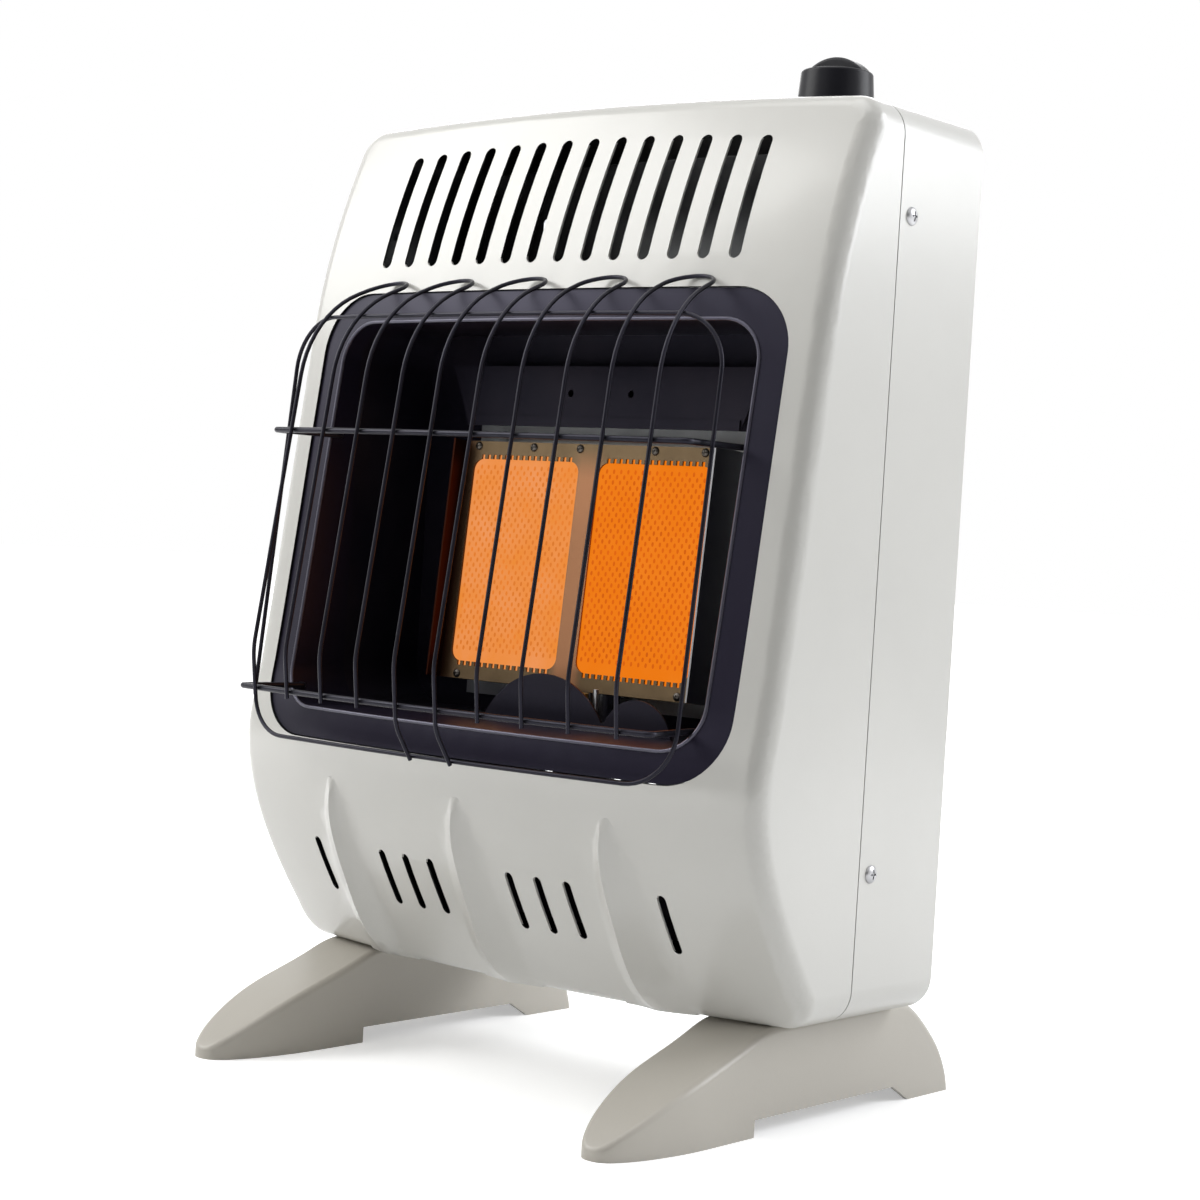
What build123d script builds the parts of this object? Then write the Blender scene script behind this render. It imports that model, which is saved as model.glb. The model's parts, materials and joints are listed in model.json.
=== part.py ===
from build123d import *

import os
from math import asin, atan, cos, degrees, radians, sin, sqrt, tan

# Vent-free radiant propane heater with two ceramic plaques.
# Millimetres, +Z up, front towards -Y, origin on the floor under the middle of the feet.

os.makedirs("parts", exist_ok=True)

# ---------------------------------------------------------------- driving dimensions

# Cabinet
case_width = 388.0
case_bottom = 58.0
case_top = 565.5
top_arch = 4.5
case_corner = 20.0
seam_y = 6.0
back_y = 88.0
sheet = 1.5
seam_gap = 0.8
cover_edge = 13.0

# Side profile of the front cover: how far each station stands from the seam plane, and its slope
base_reach = 31.0
base_slope = -0.74
chin_reach = 74.0
chin_z = 120.0
chin_slope = -0.57
knee_reach = 96.0
knee_z = 187.0
cheek_reach = 88.3
cheek_z = 232.0
cheek_slope = 0.16
brow_reach = 60.5
brow_z = 436.0
brow_slope = 0.15
crown_reach = 19.0
crown_slope = 0.5

# Bow of the cover in plan, between its middle and its sides
bow_bottom = 25.7
bow_top = 9.5

# Opening for the fire
mouth_width = 346.0
mouth_bottom = 188.0
mouth_top = 454.5
mouth_corner = 36.0
rim_depth = 5.0

# Louvre slots
lower_slot_width = 5.5
slot_pitch = 20.0
upper_slots = 14
upper_slot_width = 7.8
upper_slot_bottom = 470.0
upper_slot_top = 540.0
upper_slot_arch = 4.0
lower_slot_bottom = 95.0
lower_slot_top = 128.0
lower_slot_first = 30.0
lower_slot_lone = 130.0

# Pleats in the lower front
pleat_pitch = 102.0
pleat_half_width = 26.0
pleat_height = 12.5
pleat_top = 167.0

# Side screws of the cover
case_screw_radius = 2.0
case_screw_head = 5.2
case_screw_inset = 11.0
case_screw_heights = (141.0, 500.0)
cover_tab_height = 30.0

# Surround and firebox
bezel_width = 18.0
bezel_gap = 0.6
bezel_corner = 24.0
firebox_back_y = 18.0
firebox_front_y = -47.0
box_clearance = 1.0

# Burner
plaque_width = 92.0
plaque_height = 132.0
plaque_depth = 13.0
plaque_edge_cover = 4.5
divider_width = 15.0
burner_y = -14.0
burner_z = 298.0
burner_tilt = 5.3
frame_cheek = 12.0
frame_sheet = 1.2
comb_pitch = 4.6
comb_depth = 3.0
plenum_width = 196.0
plenum_height = 142.0
plenum_depth = 30.0
gasket_depth = 3.0
plenum_flange = 10.0
venturi_radius = 11.0
venturi_drop = 78.0

# Gas train
valve_x = 122.0
valve_y = 43.0
valve_top = 530.0
valve_width = 40.0
valve_depth = 34.0
valve_height = 52.0
bonnet_height = 12.0
bonnet_radius = 9.0
spring_length = 15.0
collar_height = 3.0
spindle_radius = 4.0
plunger_radius = 2.5
running_gap = 0.08
push_travel = 3.5
knob_base = 569.0
knob_radius = 22.0
knob_height = 18.5
knob_grip_rise = 8.0
knob_grip_width = 11.0
pipe_radius = 4.75
pilot_pipe_radius = 2.4
regulator_x = 92.0
regulator_y = 46.0
regulator_z = 96.0
regulator_radius = 29.0
regulator_height = 26.0
inlet_radius = 7.94
inlet_thread = 14.0
inlet_shoulder = 9.0
inlet_length = 16.0

# Guard
wire_radius = 1.2
rod_radius = 1.75
wire_pitch = 30.0
guard_wires_count = 10
guard_low_y = -141.0
guard_low_z = 215.0
guard_high_y = -129.5
guard_high_z = 368.0
guard_shoulder_z = 437.0
guard_tip_reach = 58.0
guard_tip_rise = 23.0
guard_bend = 66.0
guard_bow = 8.0
frame_half_width = 158.0
frame_low_z = 189.0
frame_high_z = 436.0

# Feet
foot_x = 147.0
foot_half_width = 23.0
foot_nose_y = -153.5
foot_heel_y = 153.5
foot_wall = 3.0
foot_recess = 9.5
front_pad_end = -43.0
heel_pad_start = 110.0
foot_screw_ys = (20.0, 76.0)
foot_screw_radius = 2.5

# Wall hanging
keyhole_pitch = 254.0
keyhole_z = 500.0
keyhole_head = 5.0
keyhole_slot = 2.6
keyhole_length = 16.0

seat_gap = 0.3

# ---------------------------------------------------------------- derived places

half_case = case_width / 2
inner_half = half_case - sheet
inner_floor = case_bottom + sheet
mouth_height = mouth_top - mouth_bottom
mouth_z = (mouth_top + mouth_bottom) / 2
front_limit = -200.0
loft_margin = 6.0
box_half = mouth_width / 2 - bezel_width
box_low = mouth_bottom + bezel_width
box_high = mouth_top - bezel_width
box_z = (box_low + box_high) / 2
box_height = box_high - box_low

tilt = radians(burner_tilt)
burner_plane = Plane(origin=(0, burner_y, burner_z), x_dir=(1, 0, 0), z_dir=(0, -cos(tilt), sin(tilt)))
plaque_x = (divider_width + plaque_width) / 2 - plaque_edge_cover
plenum_front = -plaque_depth - gasket_depth
plenum_back = plenum_front - plenum_depth
venturi_local = Vector(0, -plenum_height / 2, plenum_back + venturi_radius + 0.5)
venturi_seat = burner_plane.from_local_coords(venturi_local)
venturi_y = venturi_seat.Y
venturi_low = venturi_seat.Z - venturi_drop
pilot_x = 20.0
pilot_y = -28.0
couple_x = 32.0
couple_y = -30.0
couple_radius = 1.6
spark_x = 7.0
spark_y = -30.0
lead_radius = 1.5
window_width = plaque_width - 2 * plaque_edge_cover
window_height = plaque_height - 2 * plaque_edge_cover


# ---------------------------------------------------------------- forms shared by several pieces

def bow(z):
    """Forward bow of the cover's middle over its sides at a height."""
    share = (z - case_bottom) / (case_top - case_bottom)
    return bow_bottom + (bow_top - bow_bottom) * share


def outline_prism(inset, front, back):
    """The cabinet's front outline, drawn in by an inset and extruded between two depths."""
    half = half_case - inset
    low = case_bottom + inset
    high = case_top - inset
    shoulder = high - top_arch
    with BuildPart() as prism:
        with BuildSketch(Plane.XZ.offset(-back)) as outline:
            with BuildLine():
                Polyline((-half, shoulder), (-half, low), (half, low), (half, shoulder))
                ThreePointArc((half, shoulder), (0, high), (-half, shoulder))
            make_face()
            fillet(outline.vertices(), case_corner - inset)
        extrude(amount=back - front)
    return prism.part


def cover_block(inset, back):
    """Bowed block of the front cover: side profiles lofted across the width, edges rounded."""
    half = half_case + loft_margin
    stations = (
        (base_reach + base_slope * loft_margin, case_bottom - loft_margin),
        (chin_reach, chin_z),
        (knee_reach, knee_z),
        (cheek_reach, cheek_z),
        (brow_reach, brow_z),
        (crown_reach - crown_slope * loft_margin, case_top + loft_margin),
    )
    slopes = ((base_slope, 1), (chin_slope, 1), (0, 1), (cheek_slope, 1), (brow_slope, 1), (crown_slope, 1))
    with BuildPart() as block:
        for x, share in ((-half, 0), (0, 1), (half, 0)):
            face = [(seam_y + inset - reach - share * bow(z), z) for reach, z in stations]
            rear = back + loft_margin
            with BuildSketch(Plane.YZ.offset(x)):
                with BuildLine():
                    Spline(*face, tangents=slopes)
                    Polyline(face[-1], (rear, face[-1][1]), (rear, face[0][1]), face[0])
                make_face()
        loft()
        add(outline_prism(inset, front_limit, back), mode=Mode.INTERSECT)
        front_face = block.faces().sort_by(Axis.Y)[0]
        fillet(front_face.edges(), cover_edge - inset)
    return block.part


outer_block = cover_block(0, seam_y)
bezel_block = cover_block(sheet, seam_y)
bezel_back_block = cover_block(2 * sheet, seam_y)
cover_skin = outer_block.faces().sort_by(Axis.Y)[0]


def skin_y(x, z):
    """Depth of the cover's outer face at a place."""
    hits = cover_skin.find_intersection_points(Axis((x, front_limit, z), (0, 1, 0)))
    return hits[0][0].Y


def pleat(x, inset):
    """A pressed pleat that grows out of the knee and runs down to the bottom edge."""
    foot = case_bottom + inset
    rise = pleat_top - case_bottom
    stations = (
        (foot, 0.30, 0.85),
        (case_bottom + 0.06 * rise, 0.72, 0.95),
        (case_bottom + 0.16 * rise, 1.0, 1.0),
        (case_bottom + 0.40 * rise, 0.92, 0.95),
        (case_bottom + 0.66 * rise, 0.74, 0.78),
        (case_bottom + 0.86 * rise, 0.50, 0.55),
        (pleat_top, 0.0, 0.25),
    )
    with BuildPart() as ridge:
        for z, height_share, width_share in stations:
            height = height_share * pleat_height
            half = width_share * pleat_half_width
            probe = min(max(z, case_bottom + cover_edge + 1), case_top)
            lean = (probe - z) * -base_slope
            level = skin_y(x, probe) + lean + inset
            left = skin_y(x - half, probe) + lean + inset + 1.5
            right = skin_y(x + half, probe) + lean + inset + 1.5
            crest = (x, level - height)
            with BuildSketch(Plane.XY.offset(z)):
                with BuildLine():
                    Spline((x - half, left), (x - 0.4 * half, level - 0.34 * height), crest)
                    Spline(crest, (x + 0.4 * half, level - 0.34 * height), (x + half, right))
                    Polyline((x + half, right), (x + half, level + 8),
                             (x - half, level + 8), (x - half, left))
                make_face()
        loft()
    return ridge.part


def cover_form(inset, back):
    """Cover block with its three pleats."""
    with BuildPart() as form:
        add(cover_block(inset, back))
        for column in (-1, 0, 1):
            add(pleat(column * pleat_pitch, inset))
    return form.part


def rounded_prism(width, low, high, corner, front, back):
    """Rounded rectangle seen from the front, extruded between two depths."""
    with BuildPart() as prism:
        with BuildSketch(Plane.XZ.offset(-back)):
            with Locations((0, (low + high) / 2)):
                RectangleRounded(width, high - low, corner)
        extrude(amount=back - front)
    return prism.part


def screw(plane, radius, length, head_radius, head_height):
    """Pan-head screw whose head sits on the plane and whose shank runs against its normal."""
    with BuildPart() as bolt:
        with BuildSketch(plane.offset(-length)):
            Circle(radius)
        extrude(amount=length)
        with BuildSketch(plane):
            Circle(head_radius)
        extrude(amount=head_height)
        crown = bolt.faces().sort_by(Axis(plane.origin, plane.z_dir))[-1]
        fillet(crown.edges(), head_height * 0.6)
        with BuildSketch(plane.offset(head_height)):
            Rectangle(head_radius, 0.9)
            Rectangle(0.9, head_radius)
        extrude(amount=-head_height * 0.5, mode=Mode.SUBTRACT)
    return bolt.part


def flush_screw(plane, radius, length, head_radius, head_depth):
    """Countersunk screw whose flat head lies level with the plane."""
    with BuildPart() as bolt:
        with BuildSketch(plane.offset(-length)):
            Circle(radius)
        extrude(amount=length)
        with BuildSketch(plane):
            Circle(head_radius)
        extrude(amount=-head_depth, taper=countersink_angle)
        with BuildSketch(plane):
            Rectangle(head_radius, 0.9)
            Rectangle(0.9, head_radius)
        extrude(amount=-head_depth * 0.5, mode=Mode.SUBTRACT)
    return bolt.part


def tube_along(points, radius, bend):
    """Round bar or pipe along a route with even bends."""
    with BuildPart() as bar:
        with BuildLine() as route:
            FilletPolyline(*points, radius=bend)
        start = route.line
        with BuildSketch(Plane(origin=start @ 0, z_dir=start % 0)):
            Circle(radius)
        sweep(path=start)
    return bar.part


# ---------------------------------------------------------------- front cover

with BuildPart() as mouth_rim:
    add(rounded_prism(mouth_width + 2 * sheet, mouth_bottom - sheet, mouth_top + sheet, mouth_corner + sheet,
                      front_limit, seam_y))
    add(rounded_prism(mouth_width, mouth_bottom, mouth_top, mouth_corner, front_limit, seam_y),
        mode=Mode.SUBTRACT)
    add(outer_block, mode=Mode.INTERSECT)
    add(cover_block(rim_depth, seam_y), mode=Mode.SUBTRACT)

with BuildPart() as front_cover:
    add(cover_form(0, seam_y))
    add(cover_form(sheet, seam_y + sheet), mode=Mode.SUBTRACT)
    # fire opening with a short turned-in rim
    add(rounded_prism(mouth_width, mouth_bottom, mouth_top, mouth_corner, front_limit, seam_y),
        mode=Mode.SUBTRACT)
    # upper louvres: upright slots whose tops follow a shallow arch
    slot_span = (upper_slots - 1) * slot_pitch / 2
    for index in range(upper_slots):
        slot_x = index * slot_pitch - slot_span
        slot_high = upper_slot_top + upper_slot_arch * (1 - (slot_x / slot_span) ** 2)
        with BuildSketch(Plane.XZ):
            with Locations((slot_x, (slot_high + upper_slot_bottom) / 2)):
                SlotOverall(slot_high - upper_slot_bottom, upper_slot_width, rotation=90)
        extrude(amount=-front_limit, mode=Mode.SUBTRACT)
    # lower louvres: a lone slot, three, three and a lone slot between the pleats
    inner_xs = [lower_slot_first + step * slot_pitch for step in range(3)]
    lower_xs = inner_xs + [lower_slot_lone]
    for slot_x in lower_xs + [-x for x in lower_xs]:
        with BuildSketch(Plane.XZ):
            with Locations((slot_x, (lower_slot_bottom + lower_slot_top) / 2)):
                SlotOverall(lower_slot_top - lower_slot_bottom, lower_slot_width, rotation=90)
        extrude(amount=-front_limit, mode=Mode.SUBTRACT)
    # tabs that slip inside the rear case and take the side screws
    tab_reach = case_screw_inset + 9
    for side in (-1, 1):
        for height in case_screw_heights:
            with Locations((side * (inner_half - sheet / 2), seam_y + (tab_reach - 12) / 2, height)):
                Box(sheet, tab_reach + 12, cover_tab_height)
            with Locations((side * inner_half, seam_y + seam_gap + case_screw_inset, height)):
                Cylinder(case_screw_radius + 0.1, 4 * sheet, rotation=(0, 90, 0), mode=Mode.SUBTRACT)
    add(mouth_rim.part)

front_cover.part.label = "front_cover"
export_step(front_cover.part, "parts/front_cover.step")

# ---------------------------------------------------------------- rear case

case_front_y = seam_y + seam_gap
knob_hole_radius = spindle_radius + 4
case_lip = 12.0
back_screw_radius = 1.9
countersink_angle = 45.0
back_screw_head = back_screw_radius + sheet
back_screw_x = half_case - sheet - case_lip / 2
back_screw_places = [(side * back_screw_x, z) for side in (-1, 1) for z in (110.0, 300.0, 490.0)]

with BuildPart() as rear_case:
    add(outline_prism(0, case_front_y, back_y))
    add(outline_prism(sheet, case_front_y - 1, back_y - 2 * sheet), mode=Mode.SUBTRACT)
    add(outline_prism(sheet + case_lip, back_y - 3 * sheet, back_y + 1), mode=Mode.SUBTRACT)
    add(outline_prism(sheet, back_y - sheet, back_y + 1), mode=Mode.SUBTRACT)
    for x, z in back_screw_places:
        with Locations((x, back_y - 1.5 * sheet, z)):
            Cylinder(back_screw_radius + 0.1, 2 * sheet, rotation=(90, 0, 0), mode=Mode.SUBTRACT)
    for side in (-1, 1):
        for height in case_screw_heights:
            with Locations((side * (half_case - sheet / 2), case_front_y + case_screw_inset, height)):
                Cylinder(case_screw_radius + 0.1, 2 * sheet, rotation=(0, 90, 0), mode=Mode.SUBTRACT)
        for y in foot_screw_ys:
            with Locations((side * foot_x, y, case_bottom + sheet / 2)):
                Cylinder(foot_screw_radius + 0.1, 2 * sheet, mode=Mode.SUBTRACT)
    with Locations((valve_x, valve_y, case_top - top_arch / 2)):
        Cylinder(knob_hole_radius, 4 * top_arch, mode=Mode.SUBTRACT)
    with Locations((regulator_x, regulator_y, case_bottom + sheet / 2)):
        Cylinder(inlet_shoulder + 0.5, 2 * sheet, mode=Mode.SUBTRACT)

rear_case.part.label = "rear_case"
export_step(rear_case.part, "parts/rear_case.step")

# Back panel: plate let into the case's back edge, with keyholes to hang it and cooling slots
panel_inset = sheet + 0.1
vent_rows = (150.0, 250.0, 350.0)
vent_pitch = 28.0
shield_y = 46.0
shield_half = 104.0
shield_low = 205.0
shield_high = 455.0
shield_flange = 14.0
shield_sheet = 1.0
shield_screw_places = [(side * (shield_half + shield_flange / 2), z)
                       for side in (-1, 1) for z in (shield_low + 25, shield_high - 25)]

with BuildPart() as back_panel:
    add(outline_prism(panel_inset, back_y - sheet, back_y))
    with BuildSketch(Plane.XZ.offset(-back_y - 1)):
        with Locations((-keyhole_pitch / 2, keyhole_z), (keyhole_pitch / 2, keyhole_z)):
            Circle(keyhole_head)
        with Locations((-keyhole_pitch / 2, keyhole_z + keyhole_length / 2),
                       (keyhole_pitch / 2, keyhole_z + keyhole_length / 2)):
            SlotOverall(keyhole_length + 2 * keyhole_slot, 2 * keyhole_slot, rotation=90)
        for row in vent_rows:
            with Locations((0, row)):
                with GridLocations(vent_pitch, 1, 8, 1):
                    SlotOverall(44, 6, rotation=90)
        with Locations(*back_screw_places, *shield_screw_places):
            Circle(back_screw_radius + 0.1)
    extrude(amount=sheet + 2, mode=Mode.SUBTRACT)
    # countersinks, so that the panel can lie flat on a wall
    with BuildSketch(Plane.XZ.offset(-back_y)):
        with Locations(*back_screw_places, *shield_screw_places):
            Circle(back_screw_head + 0.1)
    extrude(amount=sheet, taper=countersink_angle, mode=Mode.SUBTRACT)

back_panel.part.label = "back_panel"
export_step(back_panel.part, "parts/back_panel.step")

# Heat shield: a shallow channel standing off the back panel behind the firebox
shield_back = back_y - sheet

with BuildPart() as heat_shield:
    with BuildSketch(Plane.XY.offset(shield_low)):
        with Locations((0, shield_y + shield_sheet / 2)):
            Rectangle(2 * shield_half, shield_sheet)
        for side in (-1, 1):
            with Locations((side * (shield_half - shield_sheet / 2), (shield_y + shield_back) / 2)):
                Rectangle(shield_sheet, shield_back - shield_y)
            with Locations((side * (shield_half + shield_flange / 2), shield_back - shield_sheet / 2)):
                Rectangle(shield_flange + 2 * shield_sheet, shield_sheet)
    extrude(amount=shield_high - shield_low)
    for x, z in shield_screw_places:
        with Locations((x, shield_back, z)):
            Cylinder(back_screw_radius + 0.1, 4 * shield_sheet, rotation=(90, 0, 0), mode=Mode.SUBTRACT)

heat_shield.part.label = "heat_shield"
export_step(heat_shield.part, "parts/heat_shield.step")

# ---------------------------------------------------------------- screws of the cabinet

screw_grip = 2 * sheet + 4

with BuildPart() as case_screws:
    for side in (-1, 1):
        for height in case_screw_heights:
            seat = Plane(origin=(side * half_case, case_front_y + case_screw_inset, height),
                         z_dir=(side, 0, 0))
            add(screw(seat, case_screw_radius, screw_grip, case_screw_head, 2.4))

case_screws.part.label = "case_screws"
export_step(case_screws.part, "parts/case_screws.step")

with BuildPart() as back_screws:
    for x, z in back_screw_places + shield_screw_places:
        seat = Plane(origin=(x, back_y, z), z_dir=(0, 1, 0))
        add(flush_screw(seat, back_screw_radius, 8, back_screw_head, sheet))

back_screws.part.label = "back_screws"
export_step(back_screws.part, "parts/back_screws.step")

# ---------------------------------------------------------------- firebox surround and shell

upper_hook_y = -63.0
lower_hook_y = -86.0
lower_rod_z = guard_low_z + 2.0


def throat_x(z):
    """Half-width of the surround's throat at a height, corners included."""
    drop = max(box_low + bezel_corner - z, 0)
    return box_half - bezel_corner + sqrt(bezel_corner ** 2 - drop ** 2)


with BuildPart() as surround_throat:
    add(rounded_prism(2 * box_half + 2 * sheet, box_low - sheet, box_high + sheet, bezel_corner + sheet,
                      front_limit, firebox_front_y))
    add(rounded_prism(2 * box_half, box_low, box_high, bezel_corner, front_limit, firebox_front_y),
        mode=Mode.SUBTRACT)
    add(bezel_block, mode=Mode.INTERSECT)
    for hook_y, rod_z in ((upper_hook_y, guard_high_z), (lower_hook_y, lower_rod_z)):
        with Locations((0, hook_y, rod_z)):
            Cylinder(rod_radius, 2 * half_case, rotation=(0, 90, 0), mode=Mode.SUBTRACT)

with BuildPart() as firebox_surround:
    # pressed bezel that follows the cover's bow
    add(rounded_prism(mouth_width - 2 * bezel_gap, mouth_bottom + bezel_gap, mouth_top - bezel_gap,
                      mouth_corner - bezel_gap, front_limit, seam_y))
    add(bezel_block, mode=Mode.INTERSECT)
    add(bezel_back_block, mode=Mode.SUBTRACT)
    add(rounded_prism(2 * box_half, box_low, box_high, bezel_corner, front_limit, seam_y), mode=Mode.SUBTRACT)
    add(surround_throat.part)

firebox_surround.part.label = "firebox_surround"
export_step(firebox_surround.part, "parts/firebox_surround.step")

with BuildPart() as firebox_shell:
    add(rounded_prism(2 * box_half + 2 * sheet, box_low - sheet, box_high + sheet, bezel_corner + sheet,
                      firebox_front_y, firebox_back_y + sheet))
    add(rounded_prism(2 * box_half, box_low, box_high, bezel_corner, firebox_front_y, firebox_back_y),
        mode=Mode.SUBTRACT)
    # window for the burner's plenum, and a notch for the venturi
    with BuildSketch(burner_plane.offset(-60)):
        Rectangle(plenum_width + 2 * box_clearance, plenum_height + 2 * box_clearance)
    extrude(amount=120, mode=Mode.SUBTRACT)
    with Locations((0, venturi_y, box_low)):
        Box(2 * venturi_radius + 3, 2 * venturi_radius + 3, 60, mode=Mode.SUBTRACT)
    for x, y, radius in ((pilot_x, pilot_y, pilot_pipe_radius), (couple_x, couple_y, couple_radius),
                         (spark_x, spark_y, lead_radius)):
        with Locations((x, y, box_low)):
            Cylinder(radius + 0.3, 4 * sheet, mode=Mode.SUBTRACT)

firebox_shell.part.label = "firebox_shell"
export_step(firebox_shell.part, "parts/firebox_shell.step")

# Stays that carry the firebox between the cabinet's side walls
stay_low = 235.0
stay_high = 405.0
stay_outer = inner_half
stay_inner = box_half + sheet

with BuildPart() as firebox_stay_right:
    with BuildSketch(Plane.XY.offset(stay_low)):
        Polygon((stay_inner, -20), (stay_inner + sheet, -20), (stay_inner + sheet, firebox_back_y),
                (stay_outer, firebox_back_y), (stay_outer, 42), (stay_outer - sheet, 42),
                (stay_outer - sheet, firebox_back_y + sheet), (stay_inner, firebox_back_y + sheet),
                align=None)
    extrude(amount=stay_high - stay_low)

firebox_stay_right.part.label = "firebox_stay_right"
export_step(firebox_stay_right.part, "parts/firebox_stay_right.step")

with BuildPart() as firebox_stay_left:
    mirror(firebox_stay_right.part, about=Plane.YZ)

firebox_stay_left.part.label = "firebox_stay_left"
export_step(firebox_stay_left.part, "parts/firebox_stay_left.step")

# Reflector above the plaques: slanted-end plate with a hemmed lower lip, flanged to the firebox back
reflector_y = -3.0
reflector_low = 380.0
reflector_high = 416.0
reflector_hem = 6.0
reflector_low_half = 103.0
reflector_high_half = 118.0
reflector_hole_x = 22.8

with BuildPart() as reflector_panel:
    with BuildSketch(Plane.XZ.offset(-reflector_y - frame_sheet)):
        Polygon((-reflector_low_half, reflector_low), (reflector_low_half, reflector_low),
                (reflector_high_half, reflector_high), (-reflector_high_half, reflector_high), align=None)
        with Locations((-reflector_hole_x, 400), (reflector_hole_x, 400)):
            Circle(2.2, mode=Mode.SUBTRACT)
    extrude(amount=frame_sheet)
    with BuildSketch(Plane.XZ.offset(-reflector_y)):
        with Locations((0, reflector_low + reflector_hem / 2)):
            Rectangle(2 * reflector_low_half, reflector_hem)
    extrude(amount=frame_sheet)
    with Locations((0, (reflector_y + firebox_back_y) / 2, reflector_high - frame_sheet / 2)):
        Box(2 * reflector_low_half, firebox_back_y - reflector_y, frame_sheet)
    with Locations((0, firebox_back_y - frame_sheet / 2, reflector_high - 6)):
        Box(2 * reflector_low_half, frame_sheet, 12)

reflector_panel.part.label = "reflector_panel"
export_step(reflector_panel.part, "parts/reflector_panel.step")

# ---------------------------------------------------------------- burner

with BuildPart() as plaque_right:
    with BuildSketch(burner_plane.offset(-plaque_depth)):
        with Locations((plaque_x, 0)):
            Rectangle(plaque_width, plaque_height)
    extrude(amount=plaque_depth)

plaque_right.part.label = "plaque_right"
export_step(plaque_right.part, "parts/plaque_right.step")

with BuildPart() as plaque_left:
    with BuildSketch(burner_plane.offset(-plaque_depth)):
        with Locations((-plaque_x, 0)):
            Rectangle(plaque_width, plaque_height)
    extrude(amount=plaque_depth)

plaque_left.part.label = "plaque_left"
export_step(plaque_left.part, "parts/plaque_left.step")

with BuildPart() as plaque_gasket:
    with BuildSketch(burner_plane.offset(plenum_front)):
        Rectangle(plenum_width - 2, plaque_height + 1)
        with Locations((plaque_x, 0), (-plaque_x, 0)):
            Rectangle(plaque_width - 10, plaque_height - 10, mode=Mode.SUBTRACT)
    extrude(amount=gasket_depth)

plaque_gasket.part.label = "plaque_gasket"
export_step(plaque_gasket.part, "parts/plaque_gasket.step")

# Frame: sheet face with two combed windows, side cheeks towards the front, skirt over the plenum
frame_half = plenum_width / 2 + frame_sheet
frame_rise = plenum_height / 2 + frame_sheet
frame_skirt = plaque_depth + gasket_depth + 6
frame_screw_v = (plaque_height + plenum_height) / 4 + 0.8
top_screw_xs = (-88.0, -44.0, -8.0, 48.0, 84.0)
bottom_screw_xs = (-84.0, 84.0)
frame_screw_places = [(x, frame_screw_v) for x in top_screw_xs]
frame_screw_places += [(x, -frame_screw_v) for x in bottom_screw_xs]
comb_count = int((window_width - 6) / comb_pitch)

with BuildPart() as burner_frame:
    with BuildSketch(burner_plane.offset(-frame_skirt)):
        Rectangle(2 * frame_half, 2 * frame_rise)
        Rectangle(plenum_width, plenum_height, mode=Mode.SUBTRACT)
    extrude(amount=frame_skirt)
    with BuildSketch(burner_plane):
        Rectangle(2 * frame_half, 2 * frame_rise)
    extrude(amount=frame_sheet)
    with BuildSketch(burner_plane):
        with Locations((-frame_half + frame_sheet / 2, 0), (frame_half - frame_sheet / 2, 0)):
            Rectangle(frame_sheet, 2 * frame_rise)
    extrude(amount=frame_cheek)
    with BuildSketch(burner_plane.offset(-1)):
        for side in (-1, 1):
            with Locations((side * plaque_x, 0)):
                RectangleRounded(window_width, window_height, 7)
                for edge in (-1, 1):
                    with Locations((0, edge * (window_height / 2 + comb_depth / 2 - 0.4))):
                        with GridLocations(comb_pitch, 1, comb_count, 1):
                            Rectangle(comb_pitch / 2, comb_depth)
    extrude(amount=1 + frame_sheet, mode=Mode.SUBTRACT)
    with BuildSketch(burner_plane):
        with Locations(*frame_screw_places):
            Circle(1.6)
    extrude(amount=frame_sheet, mode=Mode.SUBTRACT)

burner_frame.part.label = "burner_frame"
export_step(burner_frame.part, "parts/burner_frame.step")

with BuildPart() as burner_screws:
    for x, v in frame_screw_places:
        head_seat = burner_plane.from_local_coords(Vector(x, v, frame_sheet))
        add(screw(Plane(origin=head_seat, z_dir=burner_plane.z_dir), 1.5, frame_skirt - 4, 2.6, 1.6))

burner_screws.part.label = "burner_screws"
export_step(burner_screws.part, "parts/burner_screws.step")

# Plenum: closed box behind the plaques, with a lip for the gasket and a flange on the firebox back
plenum_lip = 8.0

with BuildPart() as burner_plenum:
    with BuildSketch(Plane.XZ.offset(-firebox_back_y)):
        with Locations((0, burner_z)):
            Rectangle(plenum_width + 2 * plenum_flange + 4, plenum_height + 2 * plenum_flange + 4)
    extrude(amount=frame_sheet)
    with Locations((0, venturi_y, box_low)):
        Box(2 * venturi_radius + 3, 2 * venturi_radius + 3, 40, mode=Mode.SUBTRACT)
    with BuildSketch(burner_plane.offset(plenum_back)):
        Rectangle(plenum_width, plenum_height)
    extrude(amount=plenum_depth)
    with BuildSketch(burner_plane.offset(plenum_back + frame_sheet)):
        Rectangle(plenum_width - 2 * frame_sheet, plenum_height - 2 * frame_sheet)
    extrude(amount=plenum_depth - 2 * frame_sheet, mode=Mode.SUBTRACT)
    with BuildSketch(burner_plane.offset(plenum_front - 2 * frame_sheet)):
        Rectangle(plenum_width - 2 * plenum_lip, plenum_height - 2 * plenum_lip)
    extrude(amount=4 * frame_sheet, mode=Mode.SUBTRACT)
    # holes for the frame's screws and for the venturi
    with BuildSketch(burner_plane.offset(plenum_front - 2 * frame_sheet)):
        with Locations(*frame_screw_places):
            Circle(1.6)
    extrude(amount=4 * frame_sheet, mode=Mode.SUBTRACT)
    with Locations(Location(venturi_seat)):
        Cylinder(venturi_radius - frame_sheet, 12, mode=Mode.SUBTRACT)

burner_plenum.part.label = "burner_plenum"
export_step(burner_plenum.part, "parts/burner_plenum.step")

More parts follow.
